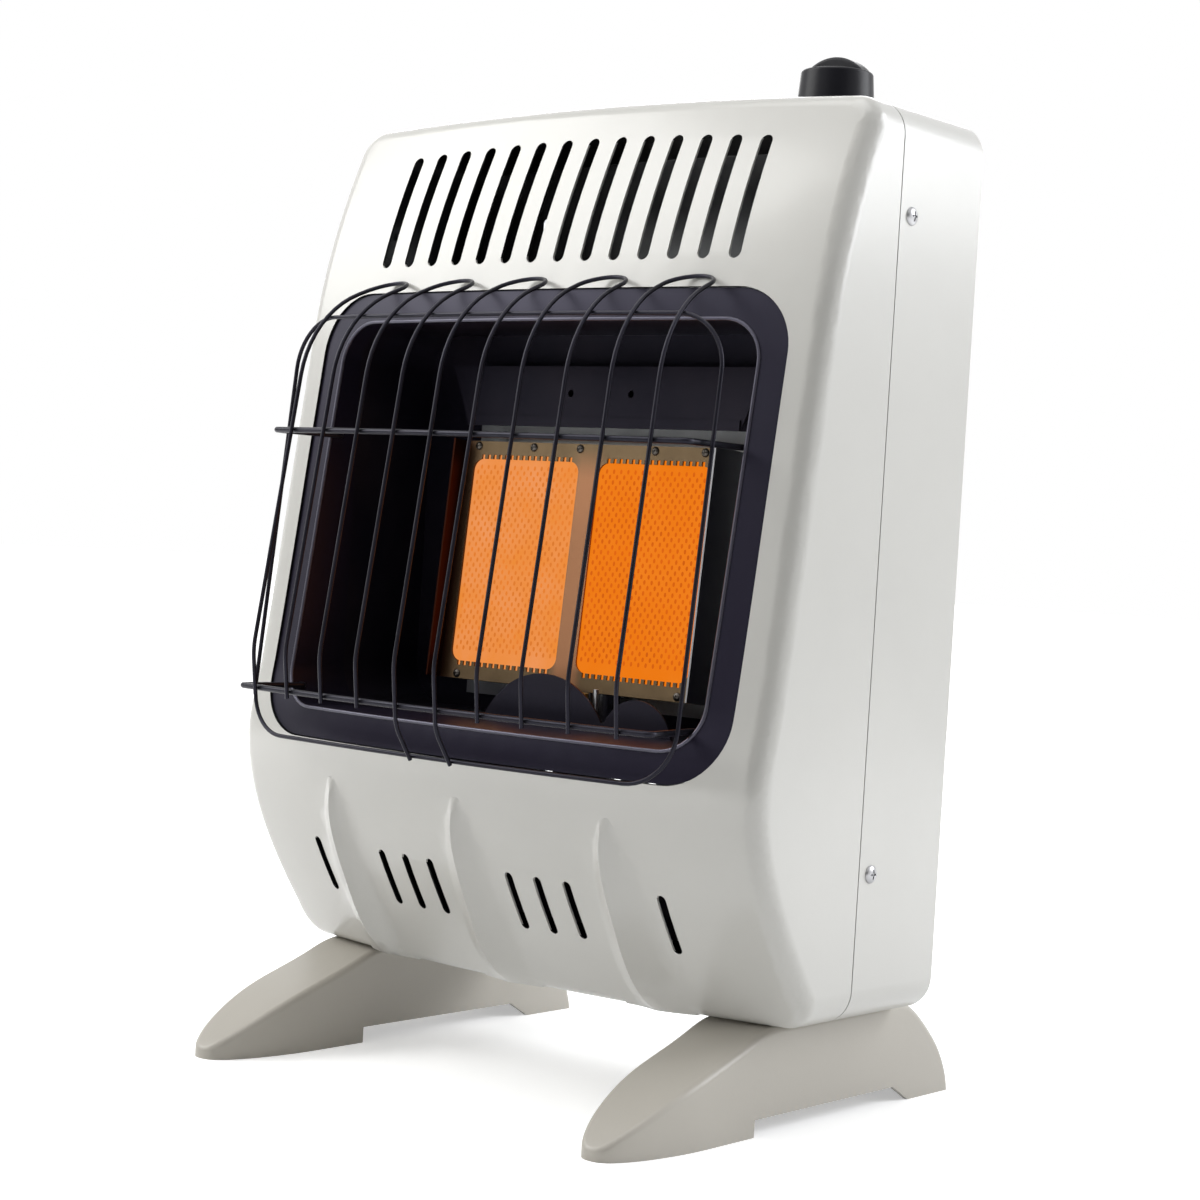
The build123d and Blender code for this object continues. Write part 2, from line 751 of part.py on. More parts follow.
with BuildPart() as burner_baffle:
    baffle_lift = 14.0
    with BuildSketch(burner_plane.offset(plenum_back + frame_sheet)):
        with Locations((-70, 0), (70, 0)):
            Rectangle(14, 96)
    extrude(amount=1.0)
    with BuildSketch(burner_plane.offset(plenum_back + frame_sheet)):
        with Locations((-63.5, 0), (63.5, 0)):
            Rectangle(1.0, 96)
    extrude(amount=baffle_lift)
    with BuildSketch(burner_plane.offset(plenum_back + frame_sheet + baffle_lift - 1)):
        Rectangle(128, 96)
    extrude(amount=1.0)

burner_baffle.part.label = "burner_baffle"
export_step(burner_baffle.part, "parts/burner_baffle.step")

# Venturi: flared head under the plenum, straight tube, closed foot with air windows
jet_radius = 5.0

with BuildPart() as venturi_tube:
    with BuildSketch(Plane.XY.offset(venturi_low)):
        with Locations((0, venturi_y)):
            Circle(venturi_radius)
    extrude(amount=venturi_drop + 6)
    with BuildSketch(Plane.XY.offset(venturi_low + 2)):
        with Locations((0, venturi_y)):
            Circle(venturi_radius - frame_sheet)
    extrude(amount=venturi_drop + 8, mode=Mode.SUBTRACT)
    with Locations((0, venturi_y, venturi_low)):
        Cylinder(jet_radius, 10, mode=Mode.SUBTRACT)
    with Locations((0, venturi_y, venturi_low + 16)):
        Cylinder(6, 4 * venturi_radius, rotation=(90, 0, 0), mode=Mode.SUBTRACT)
        Cylinder(6, 4 * venturi_radius, rotation=(0, 90, 0), mode=Mode.SUBTRACT)
    # the top follows the tilted underside of the plenum
    with BuildSketch(Plane(origin=venturi_seat, x_dir=(1, 0, 0), z_dir=burner_plane.y_dir)):
        Rectangle(60, 60)
    extrude(amount=30, mode=Mode.SUBTRACT)

venturi_tube.part.label = "venturi_tube"
export_step(venturi_tube.part, "parts/venturi_tube.step")

jet_z = venturi_low - 8.0

with BuildPart() as jet_elbow:
    with Locations((0, venturi_y, venturi_low)):
        Cylinder(jet_radius, 14)
    with Locations((0, venturi_y, jet_z)):
        Box(15, 13, 13)
    with Locations((12, venturi_y, jet_z)):
        Cylinder(5.8, 10, rotation=(0, 90, 0))
    with Locations((0, venturi_y, venturi_low + 8)):
        Cylinder(2.2, 4)

jet_elbow.part.label = "jet_elbow"
export_step(jet_elbow.part, "parts/jet_elbow.step")

# ---------------------------------------------------------------- pilot light

shield_face_y = -37.0
arch_half = 46.0
arch_rise = 29.5
bump_centre = 69.0
bump_half = 25.0
bump_rise = 20.0

with BuildPart() as pilot_shield:
    with BuildSketch(Plane.XZ.offset(-shield_face_y)):
        with BuildLine():
            ThreePointArc((-arch_half, box_low), (0, box_low + arch_rise), (arch_half, box_low))
            Line((arch_half, box_low), (-arch_half, box_low))
        make_face()
        with BuildLine():
            ThreePointArc((bump_centre - bump_half, box_low), (bump_centre, box_low + bump_rise),
                          (bump_centre + bump_half, box_low))
            Line((bump_centre + bump_half, box_low), (bump_centre - bump_half, box_low))
        make_face()
        with Locations(((bump_centre + bump_half - arch_half) / 2, box_low + 2.5)):
            Rectangle(bump_centre + bump_half + arch_half - 4, 5)
    extrude(amount=frame_sheet)
    with Locations(((bump_centre - 30) / 2, shield_face_y - 4, box_low + frame_sheet / 2)):
        Box(bump_centre + 30, 8, frame_sheet)

pilot_shield.part.label = "pilot_shield"
export_step(pilot_shield.part, "parts/pilot_shield.step")

pilot_deck = box_low + 3.0

with BuildPart() as pilot_bracket:
    with BuildSketch(Plane.XY.offset(box_low)):
        with Locations(((spark_x + couple_x) / 2, pilot_y + 4)):
            RectangleRounded(44, 22, 3)
        with Locations((pilot_x, pilot_y)):
            Circle(pilot_pipe_radius + 0.2, mode=Mode.SUBTRACT)
        with Locations((couple_x, couple_y)):
            Circle(couple_radius + 0.1, mode=Mode.SUBTRACT)
        with Locations((spark_x, spark_y)):
            Circle(2.5, mode=Mode.SUBTRACT)
    extrude(amount=3.0)

pilot_bracket.part.label = "pilot_bracket"
export_step(pilot_bracket.part, "parts/pilot_bracket.step")

with BuildPart() as pilot_burner:
    with BuildSketch(Plane.XY.offset(pilot_deck)):
        with Locations((pilot_x, pilot_y)):
            Circle(4)
    extrude(amount=17)
    with Locations((pilot_x, pilot_y + 3, pilot_deck + 13)):
        Box(5, 6, 6, mode=Mode.SUBTRACT)

pilot_burner.part.label = "pilot_burner"
export_step(pilot_burner.part, "parts/pilot_burner.step")

with BuildPart() as igniter_electrode:
    with BuildSketch(Plane.XY.offset(box_low)):
        with Locations((spark_x, spark_y)):
            Circle(2.5)
    extrude(amount=20)
    with BuildSketch(Plane.XY.offset(box_low + 20)):
        with Locations((spark_x, spark_y)):
            Circle(0.9)
    extrude(amount=6)

igniter_electrode.part.label = "igniter_electrode"
export_step(igniter_electrode.part, "parts/igniter_electrode.step")

# ---------------------------------------------------------------- gas valve and knob

valve_bottom = valve_top - valve_height
bonnet_top = valve_top + bonnet_height
spring_top = bonnet_top + spring_length
collar_top = spring_top + collar_height
spindle_low = valve_top - 2.0
spindle_high = knob_base + 11.0
plunger_length = 32.0
port_drop = 10.0
supply_port = (valve_x - 9, valve_y + 7)
burner_port = (valve_x + 11, valve_y - 3)
pilot_port = (valve_x - 4, valve_y - 13)
couple_port = (valve_x + 5, valve_y - 13)

with BuildPart() as valve_body:
    with BuildSketch(Plane.XY.offset(valve_bottom)):
        with Locations((valve_x, valve_y)):
            RectangleRounded(valve_width, valve_depth, 4)
    extrude(amount=valve_height)
    with BuildSketch(Plane.XY.offset(valve_top)):
        with Locations((valve_x, valve_y)):
            Circle(bonnet_radius)
    extrude(amount=bonnet_height)
    for port, radius in ((supply_port, 8), (burner_port, 7), (pilot_port, 4), (couple_port, 3)):
        with BuildSketch(Plane.XY.offset(valve_bottom - port_drop)):
            with Locations(port):
                Circle(radius)
        extrude(amount=port_drop)
    with BuildSketch(Plane.XY.offset(spindle_low - 6)):
        with Locations((valve_x, valve_y)):
            Circle(spindle_radius + running_gap)
    extrude(amount=bonnet_top, mode=Mode.SUBTRACT)
    with BuildSketch(Plane.XY.offset(spindle_low - plunger_length - 6)):
        with Locations((valve_x, valve_y)):
            Circle(plunger_radius + running_gap)
    extrude(amount=plunger_length + 6, mode=Mode.SUBTRACT)

valve_body.part.label = "valve_body"
export_step(valve_body.part, "parts/valve_body.step")

bracket_left = valve_x - valve_width / 2 - 12
bracket_drop = 40.0

with BuildPart() as valve_bracket:
    with BuildSketch(Plane.XY.offset(valve_top)):
        with Locations(((bracket_left + inner_half) / 2, valve_y)):
            Rectangle(inner_half - bracket_left, valve_depth)
        with Locations((valve_x, valve_y)):
            Circle(bonnet_radius, mode=Mode.SUBTRACT)
    extrude(amount=sheet)
    with Locations((inner_half - sheet / 2, valve_y, valve_top + sheet - bracket_drop / 2)):
        Box(sheet, valve_depth - 4, bracket_drop)
    with Locations((bracket_left + sheet / 2, valve_y, valve_top + sheet - 5)):
        Box(sheet, valve_depth, 10)

valve_bracket.part.label = "valve_bracket"
export_step(valve_bracket.part, "parts/valve_bracket.step")

with BuildPart() as valve_nut:
    with BuildSketch(Plane.XY.offset(valve_top + sheet)):
        with Locations((valve_x, valve_y)):
            RegularPolygon(bonnet_radius + 3.5, 6, major_radius=False)
            Circle(bonnet_radius, mode=Mode.SUBTRACT)
    extrude(amount=5)

valve_nut.part.label = "valve_nut"
export_step(valve_nut.part, "parts/valve_nut.step")

# Return spring under the knob's collar
spring_radius = 5.9
spring_wire = 0.7
spring_turns = 5

with BuildPart() as return_spring:
    with BuildLine() as coil:
        Helix(pitch=(spring_length - 2 * spring_wire) / spring_turns, height=spring_length - 2 * spring_wire,
              radius=spring_radius, center=(valve_x, valve_y, bonnet_top + spring_wire))
    with BuildSketch(Plane(origin=coil.line @ 0, z_dir=coil.line % 0)):
        Circle(spring_wire)
    sweep(path=coil.line, is_frenet=True)

return_spring.part.label = "return_spring"
export_step(return_spring.part, "parts/return_spring.step")

with BuildPart() as thrust_collar:
    with BuildSketch(Plane.XY.offset(spring_top)):
        with Locations((valve_x, valve_y)):
            Circle(7.3)
            Circle(spindle_radius + running_gap, mode=Mode.SUBTRACT)
    extrude(amount=collar_height)

thrust_collar.part.label = "thrust_collar"
export_step(thrust_collar.part, "parts/thrust_collar.step")

with BuildPart() as valve_plunger:
    with BuildSketch(Plane.XY.offset(spindle_low - plunger_length - 0.4)):
        with Locations((valve_x, valve_y)):
            Circle(plunger_radius)
    extrude(amount=plunger_length)

valve_plunger.part.label = "valve_plunger"
export_step(valve_plunger.part, "parts/valve_plunger.step")

flat_depth = 1.2
flat_low = collar_top + 2.0

with BuildPart() as valve_spindle:
    with BuildSketch(Plane.XY.offset(spindle_low)):
        with Locations((valve_x, valve_y)):
            Circle(spindle_radius)
    extrude(amount=spindle_high - spindle_low)
    with BuildSketch(Plane.XY.offset(flat_low)):
        with Locations((valve_x, valve_y + 2 * spindle_radius - flat_depth)):
            Rectangle(4 * spindle_radius, 2 * spindle_radius)
    extrude(amount=spindle_high - flat_low, mode=Mode.SUBTRACT)

valve_spindle.part.label = "valve_spindle"
export_step(valve_spindle.part, "parts/valve_spindle.step")

# Knob: shallow tapered cup with a half-disc grip and a D-bored hub
knob_wall = 2.0
knob_hub_radius = 6.4
knob_taper = 1.5
knob_edge = 1.8
knob_top = knob_base + knob_height
grip_half = 19.0
hub_low = collar_top + seat_gap

with BuildPart() as knob_grip:
    with BuildSketch(Plane.XZ.offset(-valve_y - knob_grip_width / 2)):
        with BuildLine():
            ThreePointArc((valve_x - grip_half, knob_top), (valve_x, knob_top + knob_grip_rise),
                          (valve_x + grip_half, knob_top))
            Polyline((valve_x + grip_half, knob_top), (valve_x + grip_half, knob_top - 1.5),
                     (valve_x - grip_half, knob_top - 1.5), (valve_x - grip_half, knob_top))
        make_face()
    extrude(amount=knob_grip_width)
    fillet(knob_grip.edges().filter_by(GeomType.CIRCLE), knob_edge)

with BuildPart() as control_knob:
    with BuildSketch(Plane.XY.offset(knob_base)):
        with Locations((valve_x, valve_y)):
            Circle(knob_radius)
    extrude(amount=knob_height, taper=degrees(atan(knob_taper / knob_height)))
    fillet(control_knob.faces().sort_by(Axis.Z)[-1].edges(), knob_edge)
    with BuildSketch(Plane.XY.offset(knob_base)):
        with Locations((valve_x, valve_y)):
            Circle(knob_radius - knob_wall)
            Circle(knob_hub_radius, mode=Mode.SUBTRACT)
    extrude(amount=knob_height - knob_wall, taper=degrees(atan(knob_taper / knob_height)), mode=Mode.SUBTRACT)
    add(knob_grip.part)
    with BuildSketch(Plane.XY.offset(hub_low)):
        with Locations((valve_x, valve_y)):
            Circle(knob_hub_radius)
    extrude(amount=knob_top - knob_wall - hub_low)
    with BuildSketch(Plane.XY.offset(hub_low)):
        with Locations((valve_x, valve_y)):
            Circle(spindle_radius)
    extrude(amount=spindle_high - hub_low, mode=Mode.SUBTRACT)
    # the bore's flat, which drives the spindle
    with BuildSketch(Plane.XY.offset(flat_low + 0.2)):
        with Locations((valve_x, valve_y + spindle_radius - flat_depth / 2)):
            Rectangle(2 * spindle_radius, flat_depth)
    extrude(amount=spindle_high - flat_low)

control_knob.part.label = "control_knob"
export_step(control_knob.part, "parts/control_knob.step")

# ---------------------------------------------------------------- piezo igniter and its lead

piezo_x = bracket_left - 9.0
piezo_radius = 7.0
piezo_length = 44.0

with BuildPart() as piezo_igniter:
    with BuildSketch(Plane.XY.offset(valve_top - piezo_length)):
        with Locations((piezo_x, valve_y)):
            Circle(piezo_radius)
    extrude(amount=piezo_length)
    # ear that is riveted to the bracket's turned-down end
    with Locations((bracket_left - 2, valve_y, valve_top - 4)):
        Box(4, 12, 8)

piezo_igniter.part.label = "piezo_igniter"
export_step(piezo_igniter.part, "parts/piezo_igniter.step")

lead_z = 195.0
lead_x = shield_half - 1
lead_y = 27.0

with BuildPart() as igniter_lead:
    add(tube_along([(spark_x, spark_y, box_low), (spark_x, spark_y, lead_z), (lead_x, lead_y, lead_z),
                    (lead_x, lead_y, valve_bottom - 18), (piezo_x, valve_y, valve_bottom - 6),
                    (piezo_x, valve_y, valve_top - piezo_length)], lead_radius, 6))

igniter_lead.part.label = "igniter_lead"
export_step(igniter_lead.part, "parts/igniter_lead.step")

# ---------------------------------------------------------------- pilot pipe and thermocouple

port_face = valve_bottom - port_drop
pilot_run_z = 184.0
couple_run_z = 174.0

with BuildPart() as pilot_pipe:
    add(tube_along([(*pilot_port, port_face), (*pilot_port, pilot_run_z), (pilot_x, pilot_y, pilot_run_z),
                    (pilot_x, pilot_y, pilot_deck)], pilot_pipe_radius, 9))

pilot_pipe.part.label = "pilot_pipe"
export_step(pilot_pipe.part, "parts/pilot_pipe.step")

with BuildPart() as thermocouple:
    add(tube_along([(*couple_port, port_face), (*couple_port, couple_run_z),
                    (couple_x, couple_y, couple_run_z), (couple_x, couple_y, pilot_deck + 20)],
                   couple_radius, 9))

thermocouple.part.label = "thermocouple"
export_step(thermocouple.part, "parts/thermocouple.step")

# ---------------------------------------------------------------- supply side

regulator_top = regulator_z + regulator_height / 2
regulator_low = regulator_z - regulator_height / 2
cap_height = 9.0

with BuildPart() as pressure_regulator:
    with BuildSketch(Plane.XY.offset(regulator_low)):
        with Locations((regulator_x, regulator_y)):
            Circle(regulator_radius)
    extrude(amount=regulator_height)
    chamfer(pressure_regulator.faces().sort_by(Axis.Z)[-1].edges(), 3)
    with BuildSketch(Plane.XY.offset(regulator_top)):
        with Locations((regulator_x, regulator_y)):
            Circle(11)
    extrude(amount=cap_height)

pressure_regulator.part.label = "pressure_regulator"
export_step(pressure_regulator.part, "parts/pressure_regulator.step")

saddle_half = 24.0

with BuildPart() as regulator_saddle:
    with BuildSketch(Plane.XZ.offset(-regulator_y - 20)):
        Polygon((regulator_x - saddle_half - 10, inner_floor), (regulator_x - saddle_half, inner_floor),
                (regulator_x - saddle_half, regulator_low - sheet),
                (regulator_x + saddle_half, regulator_low - sheet), (regulator_x + saddle_half, inner_floor),
                (regulator_x + saddle_half + 10, inner_floor),
                (regulator_x + saddle_half + 10, inner_floor + sheet),
                (regulator_x + saddle_half + sheet, inner_floor + sheet),
                (regulator_x + saddle_half + sheet, regulator_low),
                (regulator_x - saddle_half - sheet, regulator_low),
                (regulator_x - saddle_half - sheet, inner_floor + sheet),
                (regulator_x - saddle_half - 10, inner_floor + sheet), align=None)
    extrude(amount=40)
    with Locations((regulator_x, regulator_y, regulator_low)):
        Cylinder(inlet_shoulder, 6, mode=Mode.SUBTRACT)

regulator_saddle.part.label = "regulator_saddle"
export_step(regulator_saddle.part, "parts/regulator_saddle.step")

inlet_low = case_bottom - inlet_length
inlet_bore = 5.0

with BuildPart() as inlet_fitting:
    # threaded end below the case, for the nut of the hose
    with BuildSketch(Plane.XY.offset(inlet_low)):
        with Locations((regulator_x, regulator_y)):
            Circle(inlet_radius)
    extrude(amount=inlet_thread)
    # shoulder through the case and the saddle, with the hexagon that seats on the case's floor
    with BuildSketch(Plane.XY.offset(inlet_low + inlet_thread)):
        with Locations((regulator_x, regulator_y)):
            Circle(inlet_shoulder)
    extrude(amount=regulator_low - inlet_low - inlet_thread)
    with BuildSketch(Plane.XY.offset(inner_floor)):
        with Locations((regulator_x, regulator_y)):
            RegularPolygon(inlet_shoulder + 3, 6, major_radius=False)
    extrude(amount=8)
    with BuildSketch(Plane.XY.offset(inlet_low)):
        with Locations((regulator_x, regulator_y)):
            Circle(inlet_bore)
    extrude(amount=regulator_low - inlet_low, mode=Mode.SUBTRACT)

inlet_fitting.part.label = "inlet_fitting"
export_step(inlet_fitting.part, "parts/inlet_fitting.step")

with BuildPart() as supply_pipe:
    add(tube_along([(*supply_port, port_face), (*supply_port, 160), (regulator_x, regulator_y, 138),
                    (regulator_x, regulator_y, regulator_top + cap_height)], pipe_radius, 12))

supply_pipe.part.label = "supply_pipe"
export_step(supply_pipe.part, "parts/supply_pipe.step")

with BuildPart() as burner_pipe:
    add(tube_along([(*burner_port, port_face), (*burner_port, jet_z), (60, venturi_y, jet_z),
                    (17, venturi_y, jet_z)], pipe_radius, 14))

burner_pipe.part.label = "burner_pipe"
export_step(burner_pipe.part, "parts/burner_pipe.step")

# ---------------------------------------------------------------- wire guard

lean = (guard_high_y - guard_low_y) / (guard_high_z - guard_low_z)
shoulder_y = guard_high_y + lean * (guard_shoulder_z - guard_high_z)
leg_low_z = guard_low_z - 3.5
leg_low_y = guard_low_y - lean * 3.5
loop_radius = wire_pitch / 2
bow_half = (guard_wires_count - 1) * wire_pitch / 2
tip_y = shoulder_y + guard_tip_reach
tip_z = guard_shoulder_z + guard_tip_rise
tip_dir = Vector(0, guard_tip_reach, guard_tip_rise).normalized()
loop_centre = Vector(0, tip_y, tip_z) - tip_dir * loop_radius
catch_y = leg_low_y + 9.5
catch_z = frame_low_z - 2.0


bow_radius = (bow_half ** 2 + guard_bow ** 2) / (2 * guard_bow)


def guard_arc(x):
    """How far the bowed guard falls back at a place across the width."""
    return bow_radius - sqrt(bow_radius ** 2 - x ** 2)


def hairpin(long_legs):
    """One hairpin of the guard: two legs that lean back and close in a loop at the top."""
    start = [Vector(loop_radius, leg_low_y, leg_low_z)]
    if long_legs:
        start = [Vector(loop_radius, catch_y, catch_z), Vector(loop_radius, leg_low_y, leg_low_z + 1)]
    corner = Vector(loop_radius, shoulder_y, guard_shoulder_z)
    turn = Vector(loop_radius, loop_centre.Y, loop_centre.Z)
    with BuildPart() as pin:
        with BuildLine() as leg:
            if long_legs:
                FilletPolyline(*start, corner, turn, radius=(14, guard_bend))
            else:
                FilletPolyline(*start, corner, turn, radius=guard_bend)
            middle = loop_centre + (Vector(1, 0, 0) + tip_dir) * loop_radius * sqrt(0.5)
            ThreePointArc(turn, middle, loop_centre + tip_dir * loop_radius)
        with BuildSketch(Plane(origin=leg.line @ 0, z_dir=leg.line % 0)):
            Circle(wire_radius)
        sweep(path=leg.line)
        mirror(about=Plane.YZ)
    return pin.part


short_pin = hairpin(False)
long_pin = hairpin(True)

with BuildPart() as guard_wires:
    for index in range(guard_wires_count // 2):
        pin_x = (index - (guard_wires_count // 2 - 1) / 2) * 2 * wire_pitch
        turn = degrees(asin(pin_x / bow_radius))
        with Locations(Location((pin_x, guard_arc(pin_x), 0), (0, 0, turn))):
            add(long_pin if index == guard_wires_count // 4 else short_pin)

guard_wires.part.label = "guard_wires"
export_step(guard_wires.part, "parts/guard_wires.step")

rod_offset = wire_radius + rod_radius + 0.05
rod_bend = 4.0
rod_wall_gap = 5.5


def guard_rod(y, z, hook_y):
    """Cross rod behind the wires, bent back at its ends into holes of the surround."""
    middle = y + rod_offset
    end = throat_x(z) - rod_wall_gap
    near = bow_half
    with BuildPart() as rod:
        with BuildLine() as run:
            ThreePointArc((0, middle, z), (near / 2, middle + guard_arc(near / 2), z),
                          (near, middle + guard_arc(near), z))
            heading = run.line % 1
            reach = (end - near) / heading.X
            corner = Vector(near, middle + guard_arc(near), z) + heading * reach
            FilletPolyline((near, middle + guard_arc(near), z), corner, (end, hook_y, z),
                           (box_half + sheet + 2, hook_y, z), radius=rod_bend)
        with BuildSketch(Plane(origin=run.line @ 0, z_dir=run.line % 0)):
            Circle(rod_radius)
        sweep(path=run.line)
        mirror(about=Plane.YZ)
    return rod.part


lower_rod_y = guard_low_y + lean * (lower_rod_z - guard_low_z)

with BuildPart() as guard_rods:
    add(guard_rod(guard_high_y, guard_high_z, upper_hook_y))
    add(guard_rod(lower_rod_y, lower_rod_z, lower_hook_y))

guard_rods.part.label = "guard_rods"
export_step(guard_rods.part, "parts/guard_rods.step")

# Frame wire around the hairpins: a bowed loop with round corners, behind the legs
frame_corner = 30.0
wire_seat = 2 * wire_radius + 0.05
bend_angle = radians(90) - atan(lean) - atan(guard_tip_rise / guard_tip_reach)
lean_dir = Vector(0, lean, 1).normalized()
bend_start = Vector(0, shoulder_y, guard_shoulder_z) - lean_dir * guard_bend * tan(bend_angle / 2)
bend_centre = bend_start + Vector(0, lean_dir.Z, -lean_dir.Y) * guard_bend
seat_radius = guard_bend - wire_seat
frame_high_y = bend_centre.Y - sqrt(seat_radius ** 2 - (frame_high_z - bend_centre.Z) ** 2)
catch_slope = (leg_low_y - catch_y) / (leg_low_z + 1 - catch_z)
frame_low_y = catch_y + catch_slope * (frame_low_z - catch_z) + wire_seat * sqrt(1 + catch_slope ** 2)
frame_near = frame_half_width - frame_corner - 2.0

with BuildPart() as guard_frame:
    with BuildLine() as loop:
        ThreePointArc((0, frame_low_y, frame_low_z),
                      (frame_near / 2, frame_low_y + guard_arc(frame_near / 2), frame_low_z),
                      (frame_near, frame_low_y + guard_arc(frame_near), frame_low_z))
        low_heading = loop.line % 1
        low_reach = (frame_half_width - frame_near) / low_heading.X
        low_end = Vector(frame_near, frame_low_y + guard_arc(frame_near), frame_low_z)
        high_end = Vector(frame_near, frame_high_y + guard_arc(frame_near), frame_high_z)
        FilletPolyline(low_end, low_end + low_heading * low_reach,
                       high_end + low_heading * low_reach, high_end, radius=frame_corner)
        ThreePointArc(high_end, (frame_near / 2, frame_high_y + guard_arc(frame_near / 2), frame_high_z),
                      (0, frame_high_y, frame_high_z))
    with BuildSketch(Plane(origin=loop.line @ 0, z_dir=loop.line % 0)):
        Circle(wire_radius)
    sweep(path=loop.line)
    mirror(about=Plane.YZ)

guard_frame.part.label = "guard_frame"
export_step(guard_frame.part, "parts/guard_frame.step")

# ---------------------------------------------------------------- feet

foot_edge = 4.0
foot_deck = 1.15 * foot_wall
foot_plan_y = -85.0
rib_ys = (-96.0, -41.5, 30.0, 91.5)
rib = 3.0


def foot_profile():
    """Side view of a foot: long sloping nose, flat deck under the cabinet, rounded heel."""
    with BuildSketch() as side:
        with BuildLine():
            Spline((foot_nose_y, 6), (-134, 18.5), (-118, 26.5), (-86, 39), (-52, 50.5), (-25, case_bottom),
                   tangents=((1, 0.9), (1, 0.05)))
            Line((-25, case_bottom), (95, case_bottom))
            Spline((95, case_bottom), (108, 55), (124, 44.5), (136, 34), (146.6, 21.5), (foot_heel_y, 8))
            Polyline((foot_heel_y, 8), (foot_heel_y, 0), (foot_nose_y, 0), (foot_nose_y, 6))
        make_face()
    return side.sketch


def foot_plan(inset):
    """Plan of a foot: parallel flanks that draw in to a blunt nose."""
    half = foot_half_width - inset
    nose = foot_nose_y + inset
    heel = foot_heel_y - inset
    with BuildSketch() as plan:
        with BuildLine():
            Spline((half, foot_plan_y), (0.86 * half, -119), (0.5 * half, nose + 8), (0, nose),
                   tangents=((0, -1), (-1, 0)))
            Polyline((half, foot_plan_y), (half, heel), (0, heel))
            mirror(about=Plane.YZ)
        make_face()
    return plan.sketch


with BuildPart() as foot_hollow:
    with BuildSketch(Plane.YZ.offset(-foot_half_width)):
        with Locations((0, -foot_deck)):
            add(foot_profile())
        with Locations((-1.1 * foot_wall, -foot_wall / 2)):
            add(foot_profile(), mode=Mode.INTERSECT)
        with Locations((2.5 * foot_wall, -foot_wall)):
            add(foot_profile(), mode=Mode.INTERSECT)
        with Locations(((foot_nose_y + foot_heel_y) / 2 + 3, -2)):
            Rectangle(foot_heel_y - foot_nose_y - 30, 8)
    extrude(amount=2 * foot_half_width)
    with BuildSketch(Plane.XY.offset(-10)):
        add(foot_plan(foot_wall))
    extrude(amount=case_bottom + 20, mode=Mode.INTERSECT)
    for y in rib_ys:
        with Locations((0, y, case_bottom / 2)):
            Box(2 * foot_half_width, rib, 2 * case_bottom, mode=Mode.SUBTRACT)

with BuildPart() as foot_form:
    with BuildSketch(Plane.YZ.offset(-foot_half_width)):
        add(foot_profile())
    extrude(amount=2 * foot_half_width)
    with BuildSketch(Plane.XY.offset(-10)):
        add(foot_plan(0))
    extrude(amount=case_bottom + 20, mode=Mode.INTERSECT)
    top_edges = foot_form.edges().filter_by(lambda e: e.bounding_box().max.Z > 5.9).filter_by(
        lambda e: e.bounding_box().size.Y > 0.5 or e.bounding_box().size.X < 2 * foot_half_width - 1)
    raised = [e for e in top_edges if e.bounding_box().min.Z > 5]
    fillet([e for e in raised if e.bounding_box().size.Y > 2], foot_edge)
    add(foot_hollow.part, mode=Mode.SUBTRACT)
    with BuildSketch(Plane.YZ.offset(-foot_half_width - 1)):
        Polygon((front_pad_end, -1), (front_pad_end, foot_recess), (heel_pad_start - 17, foot_recess),
                (heel_pad_start, 0), (heel_pad_start, -1), align=None)
    extrude(amount=2 * foot_half_width + 2, mode=Mode.SUBTRACT)
    for y in foot_screw_ys:
        with Locations((0, y, case_bottom)):
            Cylinder(foot_screw_radius + 0.1, 4 * foot_wall, mode=Mode.SUBTRACT)

with BuildPart() as foot_right:
    with Locations((foot_x, 0, 0)):
        add(foot_form.part)

foot_right.part.label = "foot_right"
export_step(foot_right.part, "parts/foot_right.step")

with BuildPart() as foot_left:
    with Locations((-foot_x, 0, 0)):
        add(foot_form.part)

foot_left.part.label = "foot_left"
export_step(foot_left.part, "parts/foot_left.step")

with BuildPart() as foot_screws:
    for side in (-1, 1):
        for y in foot_screw_ys:
            seat = Plane(origin=(side * foot_x, y, case_bottom - foot_deck), z_dir=(0, 0, -1))
            add(screw(seat, foot_screw_radius, foot_wall + 6, 4.6, 2.6))

foot_screws.part.label = "foot_screws"
export_step(foot_screws.part, "parts/foot_screws.step")
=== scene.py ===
import json
import math

import bmesh
import bpy
from mathutils import Matrix, Vector
from mathutils.bvhtree import BVHTree


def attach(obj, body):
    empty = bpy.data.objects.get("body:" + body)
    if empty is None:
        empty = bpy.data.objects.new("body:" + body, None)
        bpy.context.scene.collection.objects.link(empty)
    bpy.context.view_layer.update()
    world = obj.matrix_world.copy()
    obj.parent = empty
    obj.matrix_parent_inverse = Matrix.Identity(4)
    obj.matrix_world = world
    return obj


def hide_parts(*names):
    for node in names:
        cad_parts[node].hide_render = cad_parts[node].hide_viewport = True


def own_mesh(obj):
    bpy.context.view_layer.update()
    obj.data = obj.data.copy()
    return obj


bl_info = {
    "name": "Radiant Gas Heater",
    "version": (1, 0, 0),
    "blender": (4, 5, 0),
    "location": "3D View > Sidebar > Heater",
    "description": "Dresses a plaque heater's solids: cabinet, glowing plaques, wire guard, knob and feet",
    "category": "Object",
}

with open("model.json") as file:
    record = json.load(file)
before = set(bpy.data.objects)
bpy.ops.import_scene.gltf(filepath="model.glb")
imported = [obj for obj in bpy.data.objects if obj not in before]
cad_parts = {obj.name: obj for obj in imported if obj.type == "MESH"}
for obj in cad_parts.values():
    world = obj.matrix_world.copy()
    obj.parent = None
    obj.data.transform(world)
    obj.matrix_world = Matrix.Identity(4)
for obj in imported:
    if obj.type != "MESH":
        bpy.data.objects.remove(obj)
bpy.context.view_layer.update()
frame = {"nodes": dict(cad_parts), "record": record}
MM = 0.001


